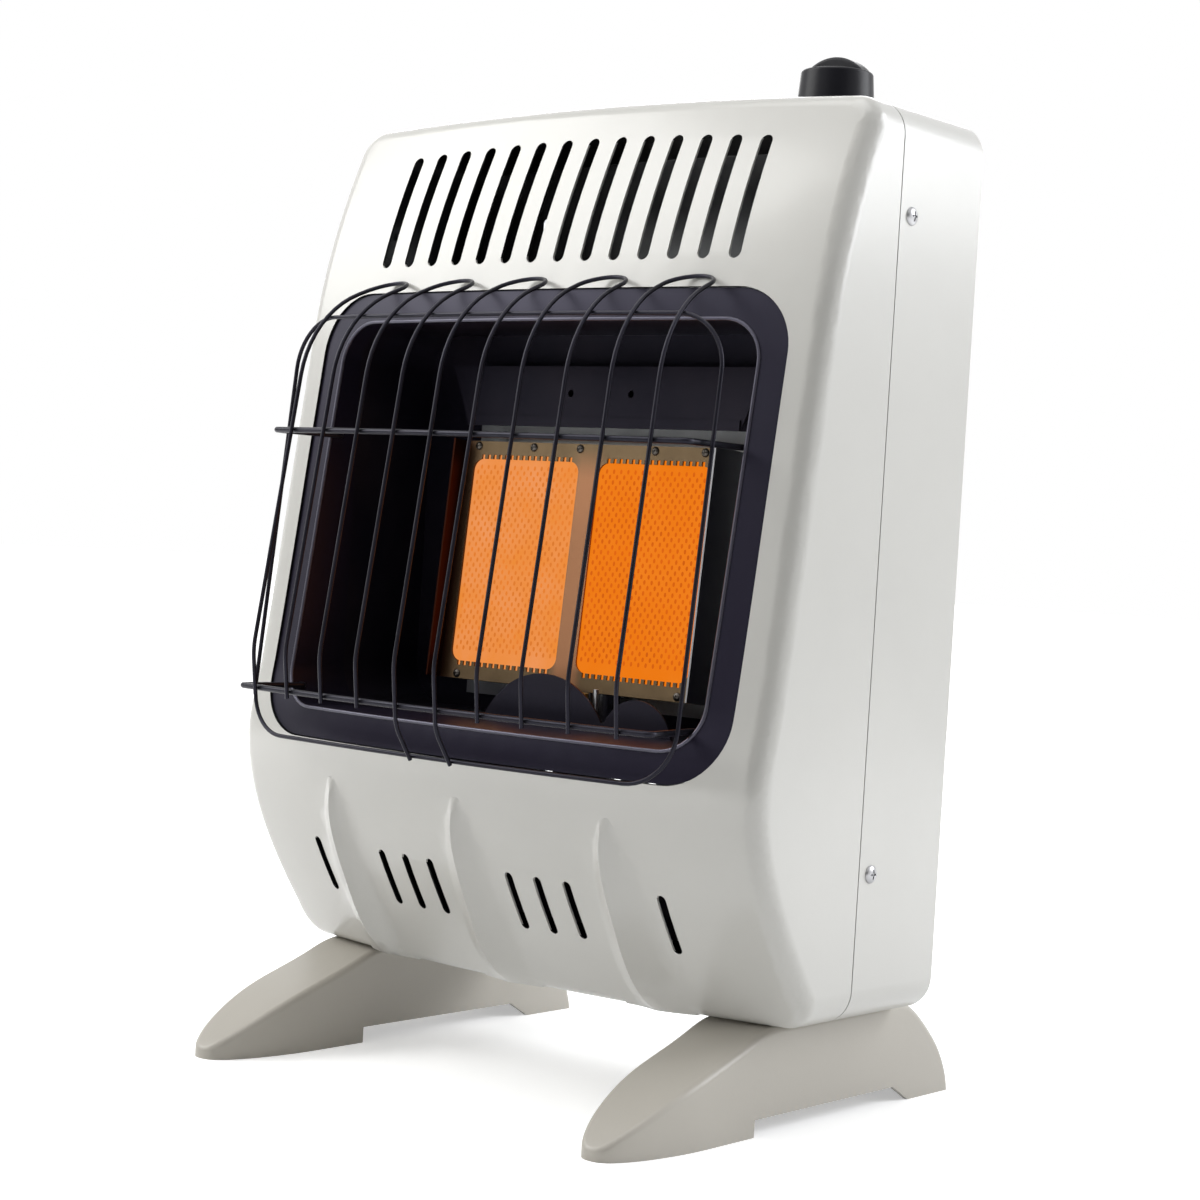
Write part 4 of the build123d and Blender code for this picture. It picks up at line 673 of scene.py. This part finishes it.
def port_tree():
    """Two staggered fields of flame ports, laid on a tilted plaque face."""
    tree, start, end = geometry_tree("flame_ports", [
        ("Width", "NodeSocketFloat", 0.08), ("Height", "NodeSocketFloat", 0.12),
        ("Across", "NodeSocketInt", 14), ("Up", "NodeSocketInt", 18),
        ("Step", "NodeSocketVector", (0.0026, 0.0031, 0)), ("Port radius", "NodeSocketFloat", 0.001),
        ("Port stretch", "NodeSocketVector", (1, 1.6, 1)),
        ("Centre", "NodeSocketVector", (0, 0, 0)), ("Tilt", "NodeSocketVector", (0, 0, 0)),
        ("Finish", "NodeSocketMaterial", None)])
    disc = tree.nodes.new("GeometryNodeMeshCircle")
    disc.fill_type = "NGON"
    disc.inputs["Vertices"].default_value = 8
    link(tree, start, "Port radius", disc, "Radius")
    oval = moved(tree, disc.outputs["Mesh"], Scale=start.outputs["Port stretch"])
    both = tree.nodes.new("GeometryNodeJoinGeometry")
    for shifted in (False, True):
        grid = tree.nodes.new("GeometryNodeMeshGrid")
        link(tree, start, "Width", grid, "Size X")
        link(tree, start, "Height", grid, "Size Y")
        link(tree, start, "Across", grid, "Vertices X")
        link(tree, start, "Up", grid, "Vertices Y")
        points = tree.nodes.new("GeometryNodeInstanceOnPoints")
        link(tree, grid, "Mesh", points, "Points")
        tree.links.new(oval, points.inputs["Instance"])
        shift = {"Translation": start.outputs["Step"]} if shifted else {}
        tree.links.new(moved(tree, points.outputs["Instances"], **shift), both.inputs["Geometry"])
    laid = moved(tree, both.outputs["Geometry"], Translation=start.outputs["Centre"],
                 Rotation=start.outputs["Tilt"])
    close_tree(tree, start, laid, end)
    return tree


def coil_tree():
    """A wire coil that stands on the given foot point."""
    tree, start, end = geometry_tree("wire_coil", [
        ("Coil radius", "NodeSocketFloat", 0.006), ("Coil height", "NodeSocketFloat", 0.014),
        ("Turns", "NodeSocketFloat", 5.0), ("Wire radius", "NodeSocketFloat", 0.0007),
        ("Foot", "NodeSocketVector", (0, 0, 0)), ("Finish", "NodeSocketMaterial", None)])
    spiral = tree.nodes.new("GeometryNodeCurveSpiral")
    spiral.inputs["Resolution"].default_value = 28
    link(tree, start, "Turns", spiral, "Rotations")
    link(tree, start, "Coil radius", spiral, "Start Radius")
    link(tree, start, "Coil radius", spiral, "End Radius")
    link(tree, start, "Coil height", spiral, "Height")
    section = tree.nodes.new("GeometryNodeCurvePrimitiveCircle")
    section.inputs["Resolution"].default_value = 10
    link(tree, start, "Wire radius", section, "Radius")
    sweep = tree.nodes.new("GeometryNodeCurveToMesh")
    sweep.inputs["Fill Caps"].default_value = True
    link(tree, spiral, "Curve", sweep, "Curve")
    link(tree, section, "Curve", sweep, "Profile Curve")
    close_tree(tree, start, moved(tree, sweep.outputs["Mesh"], Translation=start.outputs["Foot"]), end)
    return tree


TREES = {}


def tree_of(name, maker):
    """The geometry tree of that name, made the first time it is asked for."""
    if name not in TREES:
        TREES[name] = maker()
    return TREES[name]


def line_mesh(paths):
    """A mesh of plain lines, one for each path; a path that returns to its start is closed."""
    mesh = bpy.data.meshes.new("lines")
    points, edges = [], []
    for path in paths:
        first = len(points)
        closed = (path[0] - path[-1]).length < 1e-7
        keep = path[:-1] if closed else path
        points += [tuple(p) for p in keep]
        edges += [(first + i, first + i + 1) for i in range(len(keep) - 1)]
        if closed:
            edges.append((first + len(keep) - 1, first))
    mesh.from_pydata(points, edges, [])
    return mesh


def aimed_points(places):
    """A mesh of points, each with the direction that its screw faces."""
    mesh = bpy.data.meshes.new("places")
    mesh.from_pydata([tuple(p) for p, _ in places], [], [])
    aim = mesh.attributes.new("aim", "FLOAT_VECTOR", "POINT")
    for item, (_, direction) in zip(aim.data, places):
        item.vector = direction
    return mesh


def rounded_route(corners, radius, steps=10):
    """Straight runs joined by tangent arcs, as a list of points."""
    route = [corners[0]]
    for before, corner, after in zip(corners, corners[1:], corners[2:]):
        a = (before - corner).normalized()
        b = (after - corner).normalized()
        bend = math.pi - a.angle(b)
        reach = radius * math.tan(bend / 2)
        centre = corner + (a + b).normalized() * (radius / math.cos(bend / 2))
        first = corner + a * reach - centre
        axis = first.cross(corner + b * reach - centre).normalized()
        for i in range(steps + 1):
            route.append(centre + Matrix.Rotation(bend * i / steps, 3, axis) @ first)
    route.append(corners[-1])
    return route


# ---------------------------------------------------------------- operators


class HEATER_OT_cabinet(bpy.types.Operator):
    """Enamelled front cover and rear case, with painted shade on their inner faces, and the plain sheet
    behind them, the heat shield darkened as painted shade
    """

    bl_idname = "heater.cabinet"
    bl_label = "Cabinet"

    def execute(self, context):
        # the inner faces of cover and case are marked for painted shade
        mark_shaded_faces(dressed("front_cover", "cover_shell", "cream_enamel_shaded_inside", 38).data)
        mark_shaded_faces(dressed("rear_case", "case_shell", "cream_enamel_shaded_inside", 38).data)
        dressed("back_panel", "back_sheet", "galvanised_sheet")
        dressed("heat_shield", "shield_sheet", "shade_darkened_sheet")
        return {"FINISHED"}


class HEATER_OT_fasteners(bpy.types.Operator):
    """Cross-recess screws of the cabinet, the back, the burner and the feet"""

    bl_idname = "heater.fasteners"
    bl_label = "Screws"

    def execute(self, context):
        sides = context.scene.heater_cabinet.screw_sides
        burner_aim = Vector((0, -math.cos(BURNER_TILT), math.sin(BURNER_TILT)))
        groups = [
            ("case_screws", "side_screws", "bright_screw", 5.2, 2.4, 2.0, 6.8,
             [(Vector((s * 194, 17.8, z)), Vector((s, 0, 0))) for s in (-1, 1) for z in (141, 500)]),
            ("foot_screws", "deck_screws", "bright_screw", 4.6, 2.6, 2.5, 8.9,
             [(Vector((s * 147, y, 58 - 3.45)), Vector((0, 0, -1))) for s in (-1, 1) for y in (20, 76)]),
            ("burner_screws", "frame_screws", "tempered_screw", 2.6, 1.6, 1.5, 17.9,
             [(burner_point(x, 69.3, 1.2) / MM, burner_aim) for x in (-88, -44, -8, 48, 84)]
             + [(burner_point(x, -69.3, 1.2) / MM, burner_aim) for x in (-84, 84)]),
        ]
        for node, name, metal, head, rise, shank, length, places in groups:
            mesh = run_tree(
                tree_of("screws", screw_tree), aimed_points([(p * MM, d) for p, d in places]),
                {"Head radius": head * MM, "Head rise": rise * MM, "Shank radius": shank * MM,
                 "Shank length": length * MM, "Sides": sides, "Finish": finish(metal)})
            place(name, mesh, finish(metal), node)
        dressed("back_screws", "panel_screws", "bright_screw")
        return {"FINISHED"}


BURNER_TILT = math.radians(5.3)


def burner_point(x, up, out):
    """A place on the tilted burner, from its own across, up and outward distances in millimetres."""
    c, s = math.cos(BURNER_TILT), math.sin(BURNER_TILT)
    return Vector((x, -14 + up * s - out * c, 298 + up * c + out * s)) * MM


class HEATER_OT_firebox(bpy.types.Operator):
    """Black enamelled surround, firebox, stays and reflector"""

    bl_idname = "heater.firebox"
    bl_label = "Firebox"

    def execute(self, context):
        dressed("firebox_surround", "surround_bezel", "surround_enamel", 35)
        dressed("firebox_shell", "firebox_walls", "firebox_enamel", 35)
        dressed("reflector_panel", "reflector_plate", "firebox_enamel")
        for side in ("left", "right"):
            dressed(f"firebox_stay_{side}", f"stay_{side}", "galvanised_sheet")
        lip = run_tree(tree_of("bar", bar_tree), line_mesh([self.lip_line()]),
                       {"Radius": 1.1 * MM, "Sides": 10, "Finish": finish("lip_enamel_and_highlight")})
        place("throat_lip", lip, finish("lip_enamel_and_highlight"), "firebox_surround", replaced=False)
        return {"FINISHED"}

    def lip_line(self):
        """The throat's front edge, laid on the face of the surround all the way round."""
        face = frame["nodes"]["firebox_surround"].data
        sheet = BVHTree.FromPolygons([v.co for v in face.vertices],
                                     [tuple(p.vertices) for p in face.polygons])
        half, low, high = 155.5 * MM, 205.5 * MM, 437 * MM
        corners = [Vector((0, 0, low))] + [Vector((x, 0, z)) for x, z in (
            (half, low), (half, high), (-half, high), (-half, low))] + [Vector((0, 0, low))]
        route = rounded_route(corners, 24.5 * MM, 10)
        line = []
        for a, b in zip(route, route[1:]):
            count = max(1, int((b - a).length / (12 * MM)))
            line += [a.lerp(b, i / count) for i in range(count)]
        line.append(route[-1])
        for point in line:
            hit = sheet.ray_cast(Vector((point.x, -0.3, point.z)), Vector((0, 1, 0)))[0]
            if hit is None or hit.y > -0.05:
                raise RuntimeError("the surround has no face beside its throat")
            point.y = hit.y
        return line


class HEATER_OT_burner(bpy.types.Operator):
    """Glowing plaques with their flame ports, the combed frame and the plenum"""

    bl_idname = "heater.burner"
    bl_label = "Burner"

    def execute(self, context):
        look = context.scene.heater_burner
        for side, sign in (("left", -1), ("right", 1)):
            dressed(f"plaque_{side}", f"hot_plaque_{side}", f"plaque_{side}_glow")
            across = int(0.080 / look.port_across)
            up = int(0.119 / look.port_up)
            width, height = (across - 1) * look.port_across, (up - 1) * look.port_up
            step = Vector((look.port_across, look.port_up, 0)) / 2
            corner = burner_point(sign * 49, 0, 0.06) - Vector((step.x, 0, 0)) / 2
            mesh = run_tree(
                tree_of("ports", port_tree), bpy.data.meshes.new("empty"),
                {"Width": width, "Height": height, "Across": across, "Up": up, "Step": step,
                 "Port radius": 0.9 * MM, "Port stretch": (1.0, 1.6, 1.0), "Centre": corner,
                 "Tilt": (math.pi / 2 - BURNER_TILT, 0, 0), "Finish": finish(f"port_{side}")})
            place(f"flame_ports_{side}", mesh, finish(f"port_{side}"), f"plaque_{side}", replaced=False)
        dressed("burner_frame", "combed_frame", "straw_steel_painted_light")
        dressed("plaque_gasket", "fibre_gasket", "fibre_sheet")
        dressed("burner_plenum", "plenum_box", "galvanised_sheet")
        dressed("burner_baffle", "gas_baffle", "galvanised_sheet")
        dressed("venturi_tube", "mixing_tube", "galvanised_sheet")
        dressed("jet_elbow", "jet_holder", "turned_brass")
        return {"FINISHED"}


class HEATER_OT_pilot(bpy.types.Operator):
    """Pilot light, thermocouple, electrode and their black shield"""

    bl_idname = "heater.pilot"
    bl_label = "Pilot light"

    def execute(self, context):
        dressed("pilot_shield", "arched_shield", "firebox_enamel")
        dressed("pilot_bracket", "pilot_deck", "galvanised_sheet")
        dressed("pilot_burner", "pilot_head", "turned_brass")
        dressed("igniter_electrode", "spark_electrode", "glazed_electrode")
        dressed("thermocouple", "thermocouple_lead", "drawn_pipe")
        dressed("igniter_lead", "spark_lead", "silicone_lead")
        dressed("piezo_igniter", "piezo_barrel", "black_moulding")
        return {"FINISHED"}


class HEATER_OT_gas_train(bpy.types.Operator):
    """Valve, regulator, fittings and pipes"""

    bl_idname = "heater.gas_train"
    bl_label = "Gas train"

    def execute(self, context):
        dressed("valve_body", "valve_casting", "zinc_casting")
        dressed("valve_bracket", "valve_shelf", "galvanised_sheet")
        dressed("valve_nut", "panel_nut", "turned_brass")
        dressed("pressure_regulator", "regulator_casting", "zinc_casting")
        dressed("regulator_saddle", "regulator_bridge", "galvanised_sheet")
        dressed("inlet_fitting", "hose_fitting", "turned_brass")
        for node in ("supply_pipe", "burner_pipe", "pilot_pipe"):
            dressed(node, f"{node}_run", "drawn_pipe")
        return {"FINISHED"}


class HEATER_OT_knob(bpy.types.Operator):
    """Control knob with its spindle, collar, plunger and return spring"""

    bl_idname = "heater.knob"
    bl_label = "Knob"

    def execute(self, context):
        dressed("control_knob", "knob_cap", "knob_moulding", 40)
        dressed("valve_spindle", "spindle_shaft", "blued_steel")
        dressed("thrust_collar", "spring_collar", "blued_steel")
        dressed("valve_plunger", "plunger_pin", "blued_steel")
        mesh = run_tree(
            tree_of("coil", coil_tree), bpy.data.meshes.new("empty"),
            {"Coil radius": 5.9 * MM, "Coil height": 13.6 * MM, "Turns": 5.0, "Wire radius": 0.7 * MM,
             "Foot": (0.122, 0.043, 0.5427), "Finish": finish("blued_steel")})
        spring = place("coil_spring", mesh, finish("blued_steel"), "return_spring")
        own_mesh(spring)
        return {"FINISHED"}


# Side profile of a hairpin, in the middle plane; only the middle hairpin has the long legs.
PIN_FOOT = Vector((0, -145.3, 213.2)) * MM
PIN_KNEE = Vector((0, -148.6, 240)) * MM
PIN_SHOULDER = Vector((0, -120, 437)) * MM
PIN_TIP = Vector((0, -66.3, 460)) * MM
LONG_LEG_END = Vector((0, -131, 187)) * MM
LONG_LEG_BEND = Vector((0, -144.2, 206)) * MM
LONG_LEG_RADIUS, KNEE_RADIUS, SHOULDER_RADIUS = 26 * MM, 50 * MM, 66 * MM
BOW_FRONT = -141 * MM
WELD_GAP = 0.05 * MM
UPPER_ROD, LOWER_ROD, ROD_END, ROD_TIP = 368 * MM, 217 * MM, 153.5 * MM, 158.5 * MM
FRAME_LOW, FRAME_TOP, FRAME_HALF, FRAME_ARC_HALF = 189 * MM, 436 * MM, 158 * MM, 126 * MM


def bow_radius(size):
    """Radius of the arc that every wire of the guard follows."""
    half = 4.5 * size.pitch
    return (half ** 2 + size.bow ** 2) / (2 * size.bow)


def bow_fall(size, x):
    """How far the arc stands behind its front, at that distance from the middle."""
    radius = bow_radius(size)
    return radius - math.sqrt(radius ** 2 - x ** 2)


def bow_line(size, y, z, half):
    """Right half of a level arc, from the middle outwards."""
    return [Vector((half * i / 12, y + bow_fall(size, half * i / 12), z)) for i in range(13)]


def bow_heading(size, half):
    """Direction in which the arc runs on at its end."""
    return Vector((bow_radius(size) - bow_fall(size, half), half, 0)).normalized()


def mirrored(points):
    """The same run on the other side, in the opposite order."""
    return [Vector((-p.x, p.y, p.z)) for p in reversed(points)]


def leg_line(corners, radii):
    """A run through the corners, each rounded by its own radius."""
    run = [corners[0]]
    for radius, corner, after in zip(radii, corners[1:], corners[2:]):
        run += rounded_route([run[-1], corner, after], radius)[1:-1]
    return run + [corners[-1]]


def hairpin_line(size, x, long_legs):
    """One hairpin: up a leg, round the tip and down again, turned about the bow's centre."""
    half = size.pitch / 2
    tip_way = (PIN_TIP - PIN_SHOULDER).normalized()
    loop = PIN_TIP - tip_way * half
    side = Vector((half, 0, 0))
    corners, radii = [PIN_FOOT, PIN_KNEE, PIN_SHOULDER, loop], [KNEE_RADIUS, SHOULDER_RADIUS]
    if long_legs:
        corners[:1] = [LONG_LEG_END, LONG_LEG_BEND]
        radii.insert(0, LONG_LEG_RADIUS)
    climb = leg_line([p + side for p in corners], radii)
    turn = [loop + side * math.cos(a) + tip_way * half * math.sin(a)
            for a in (math.pi * i / 18 for i in range(1, 18))]
    centre = Vector((0, BOW_FRONT + bow_radius(size), 0))
    spin = Matrix.Rotation(x / bow_radius(size), 3, "Z")
    return [centre + spin @ (p - centre) for p in climb + turn + mirrored(climb)]


def rod_line(size, leg_y, z, hook_y, seat_x):
    """A cross rod behind the legs at that height, with both ends hooked back to their seats."""
    half = 4.5 * size.pitch
    offset = size.wire + size.rod + WELD_GAP
    arc = bow_line(size, leg_y + offset * 1.01, z, half)
    heading = bow_heading(size, half)
    corner = arc[-1] + heading * ((ROD_END - half) / heading.x)
    hook = [arc[-1], corner, Vector((seat_x, hook_y, z)), Vector((ROD_TIP, hook_y, z))]
    right = arc + rounded_route(hook, 4 * MM, 6)[1:]
    return mirrored(right[1:]) + right


def frame_line(size):
    """The closed frame wire: low behind the long legs, high inside the shoulders."""
    seat = 2 * size.wire + WELD_GAP
    leg_way = (PIN_SHOULDER - PIN_KNEE).normalized()
    bend = leg_way.angle(PIN_TIP - PIN_SHOULDER)
    bend_start = PIN_SHOULDER - leg_way * SHOULDER_RADIUS * math.tan(bend / 2)
    hub = bend_start + Vector((0, leg_way.z, -leg_way.y)) * SHOULDER_RADIUS
    top_y = hub.y - math.sqrt((SHOULDER_RADIUS - seat) ** 2 - (FRAME_TOP - hub.z) ** 2)
    run = LONG_LEG_BEND - LONG_LEG_END
    slope = -run.y / run.z
    low_y = LONG_LEG_END.y - slope * (FRAME_LOW - LONG_LEG_END.z) + seat * math.sqrt(1 + slope ** 2)
    low_arc = bow_line(size, low_y, FRAME_LOW, FRAME_ARC_HALF)
    top_arc = bow_line(size, top_y, FRAME_TOP, FRAME_ARC_HALF)[::-1]
    heading = bow_heading(size, FRAME_ARC_HALF)
    reach = heading * ((FRAME_HALF - FRAME_ARC_HALF) / heading.x)
    corners = [low_arc[-1], low_arc[-1] + reach, top_arc[0] + reach, top_arc[0]]
    right = low_arc + rounded_route(corners, 30 * MM, 12)[1:-1] + top_arc
    return right + mirrored(right[1:-1]) + [right[0]]


class HEATER_OT_guard(bpy.types.Operator):
    """Wire guard: hairpins, cross rods and frame wire"""

    bl_idname = "heater.guard"
    bl_label = "Wire guard"

    def execute(self, context):
        size = context.scene.heater_guard
        lean = (PIN_SHOULDER.y - PIN_KNEE.y) / (PIN_SHOULDER.z - PIN_KNEE.z)
        pins = [hairpin_line(size, i * 2 * size.pitch, i == 0) for i in range(-2, 3)]
        rods = [rod_line(size, PIN_KNEE.y + lean * (UPPER_ROD - PIN_KNEE.z), UPPER_ROD, -63 * MM, 149.5 * MM),
                rod_line(size, PIN_FOOT.y - 0.5 * MM, LOWER_ROD, -86 * MM, 145.7 * MM)]
        plating = finish("guard_plating")
        for name, lines, radius, node in (
                ("hairpin_wires", pins, size.wire, "guard_wires"),
                ("cross_rods", rods, size.rod, "guard_rods"),
                ("frame_wire", [frame_line(size)], size.wire, "guard_frame")):
            mesh = run_tree(tree_of("bar", bar_tree), line_mesh(lines),
                            {"Radius": radius, "Sides": size.sides, "Finish": plating})
            place(name, mesh, plating, node)
        return {"FINISHED"}


class HEATER_OT_feet(bpy.types.Operator):
    """The two moulded feet"""

    bl_idname = "heater.feet"
    bl_label = "Feet"

    def execute(self, context):
        dressed("foot_left", "moulded_foot_left", "foot_moulding", 38)
        dressed("foot_right", "moulded_foot_right", "foot_moulding", 38)
        return {"FINISHED"}


class HEATER_OT_stage(bpy.types.Operator):
    """Pale floor, studio lamps, world and camera"""

    bl_idname = "heater.stage"
    bl_label = "Stage"

    def execute(self, context):
        scene = context.scene
        scene.view_settings.view_transform = "Standard"
        mesh = bpy.data.meshes.new("floor")
        reach = 14.0
        mesh.from_pydata([(-reach, -reach, 0), (reach, -reach, 0), (reach, reach, 0), (-reach, reach, 0)],
                         [], [(0, 1, 2, 3)])
        floor = bpy.data.objects.new("floor", mesh)
        context.collection.objects.link(floor)
        mesh.materials.append(self.floor_paper())
        lamps = [
            ("key_panel", (-1.85, -1.4, 1.85), 1.7, 48, (1.0, 1.0, 0.985)),
            ("side_panel", (1.75, 1.6, 1.55), 1.6, 50, (0.95, 0.97, 1.0)),
            ("top_panel", (-0.2, -0.3, 2.2), 1.3, 12, (1.0, 1.0, 1.0)),
            ("back_panel_light", (-1.6, 2.0, 1.3), 1.5, 24, (1.0, 1.0, 1.0)),
        ]
        made = [floor]
        for name, place_at, size, power, tint in lamps:
            data = bpy.data.lights.new(name, "AREA")
            data.size = size
            data.energy = power
            data.color = tint
            lamp = bpy.data.objects.new(name, data)
            lamp.location = place_at
            lamp.rotation_euler = (Vector((0, 0, 0.3)) - Vector(place_at)).to_track_quat("-Z", "Y").to_euler()
            context.collection.objects.link(lamp)
            made.append(lamp)
        made += [self.dark_card(context, *card) for card in (
            ("left_card", (-2.1, -2.6, 0.25), 3.4, 1.5), ("front_card", (2.2, -2.7, 0.7), 4.2, 2.6))]
        scene.world = self.studio_world()
        scene.camera = self.camera(context)
        return {"FINISHED"}

    def dark_card(self, context, name, place_at, wide, high):
        """Black studio card that only glossy surfaces see, so that dark enamel stays deep."""
        mesh = bpy.data.meshes.new(name)
        mesh.from_pydata([(-wide / 2, -high / 2, 0), (wide / 2, -high / 2, 0), (wide / 2, high / 2, 0),
                          (-wide / 2, high / 2, 0)], [], [(0, 1, 2, 3)])
        material = bpy.data.materials.new(name)
        material.use_nodes = True
        shader = material.node_tree.nodes["Principled BSDF"]
        shader.inputs["Base Color"].default_value = (0, 0, 0, 1)
        shader.inputs["Specular IOR Level"].default_value = 0
        mesh.materials.append(material)
        card = bpy.data.objects.new(name, mesh)
        card.location = place_at
        aim = Vector((0, 0, 0.3)) - Vector(place_at)
        card.rotation_euler = aim.to_track_quat("-Z", "Y").to_euler()
        card.visible_camera = False
        card.visible_diffuse = False
        card.visible_transmission = False
        card.visible_shadow = False
        context.collection.objects.link(card)
        return card

    def floor_paper(self):
        """White paper that keeps the object's shadow and looks white to the camera."""
        material, tree, shader, coords = blank_material("floor_paper")
        shader.inputs["Base Color"].default_value = (0.9, 0.9, 0.9, 1)
        shader.inputs["Roughness"].default_value = 0.9
        shader.inputs["Specular IOR Level"].default_value = 0.1
        far = tree.nodes.new("ShaderNodeVectorMath")
        far.operation = "LENGTH"
        tree.links.new(coords, far.inputs[0])
        fade = range_node(tree, far.outputs["Value"], 0.30, 1.1, 0.42, 1.0)
        fade.node.interpolation_type = "SMOOTHSTEP"
        seen = tree.nodes.new("ShaderNodeLightPath").outputs
        direct = math_node(tree, "MAXIMUM", seen["Is Camera Ray"], seen["Is Glossy Ray"])
        shader.inputs["Emission Color"].default_value = (1, 1, 1, 1)
        tree.links.new(math_node(tree, "MULTIPLY", direct, fade), shader.inputs["Emission Strength"])
        return material

    def studio_world(self):
        """Soft even light, with a white background to camera, glossy and transmitted rays."""
        world = bpy.data.worlds.new("studio")
        world.use_nodes = True
        tree = world.node_tree
        sky = tree.nodes["Background"]
        seen = tree.nodes.new("ShaderNodeLightPath").outputs
        direct = math_node(tree, "MAXIMUM", seen["Is Camera Ray"], seen["Is Glossy Ray"])
        any_seen = math_node(tree, "MAXIMUM", direct, seen["Is Transmission Ray"])
        tree.links.new(range_node(tree, any_seen, 0.0, 1.0, 0.26, 1.0), sky.inputs["Strength"])
        sky.inputs["Color"].default_value = (1, 1, 1, 1)
        return world

    def camera(self, context):
        """Camera in front and to the right, slightly above the middle of the cabinet."""
        heading, pitch, roll = (math.radians(a) for a in (39.27, 1.43, 3.43))
        ahead = Vector((-math.sin(heading), math.cos(heading), 0))
        right = Vector((math.cos(heading), math.sin(heading), 0))
        up = Vector((0, 0, 1))
        view = ahead * math.cos(pitch) - up * math.sin(pitch)
        top = ahead * math.sin(pitch) + up * math.cos(pitch)
        x_way = right * math.cos(roll) + top * math.sin(roll)
        y_way = -right * math.sin(roll) + top * math.cos(roll)
        data = bpy.data.cameras.new("studio_camera")
        data.sensor_width = 36.0
        data.lens = 2508.5 / 1200 * 36
        data.clip_end = 100
        camera = bpy.data.objects.new("studio_camera", data)
        context.collection.objects.link(camera)
        axes = Matrix((x_way, y_way, -view)).transposed()
        camera.matrix_world = Matrix.Translation((0.9383, -1.1397, 0.316)) @ axes.to_4x4()
        return camera


# ---------------------------------------------------------------- panel and registration

OPERATORS = (HEATER_OT_cabinet, HEATER_OT_fasteners, HEATER_OT_firebox, HEATER_OT_burner, HEATER_OT_pilot,
             HEATER_OT_gas_train, HEATER_OT_knob, HEATER_OT_guard, HEATER_OT_feet, HEATER_OT_stage)


class HEATER_PT_pieces(bpy.types.Panel):
    """Lists the heater's pieces and their sizes"""

    bl_label = "Heater"
    bl_idname = "HEATER_PT_pieces"
    bl_space_type = "VIEW_3D"
    bl_region_type = "UI"
    bl_category = "Heater"

    def draw(self, context):
        layout = self.layout
        for group in (context.scene.heater_cabinet, context.scene.heater_burner, context.scene.heater_guard):
            column = layout.column()
            for name in group.bl_rna.properties.keys():
                if name not in ("rna_type", "name"):
                    column.prop(group, name)
        for operator in OPERATORS:
            layout.operator(operator.bl_idname)


CLASSES = (GuardSizes, BurnerLook, CabinetLook) + OPERATORS + (HEATER_PT_pieces,)


def register():
    for item in CLASSES:
        bpy.utils.register_class(item)
    bpy.types.Scene.heater_guard = bpy.props.PointerProperty(type=GuardSizes)
    bpy.types.Scene.heater_burner = bpy.props.PointerProperty(type=BurnerLook)
    bpy.types.Scene.heater_cabinet = bpy.props.PointerProperty(type=CabinetLook)


def unregister():
    del bpy.types.Scene.heater_cabinet
    del bpy.types.Scene.heater_burner
    del bpy.types.Scene.heater_guard
    for item in reversed(CLASSES):
        bpy.utils.unregister_class(item)


def main():
    register()
    bpy.ops.heater.cabinet()
    bpy.ops.heater.fasteners()
    bpy.ops.heater.firebox()
    bpy.ops.heater.burner()
    bpy.ops.heater.pilot()
    bpy.ops.heater.gas_train()
    bpy.ops.heater.knob()
    bpy.ops.heater.guard()
    bpy.ops.heater.feet()
    bpy.ops.heater.stage()


if __name__ == "__main__":
    main()
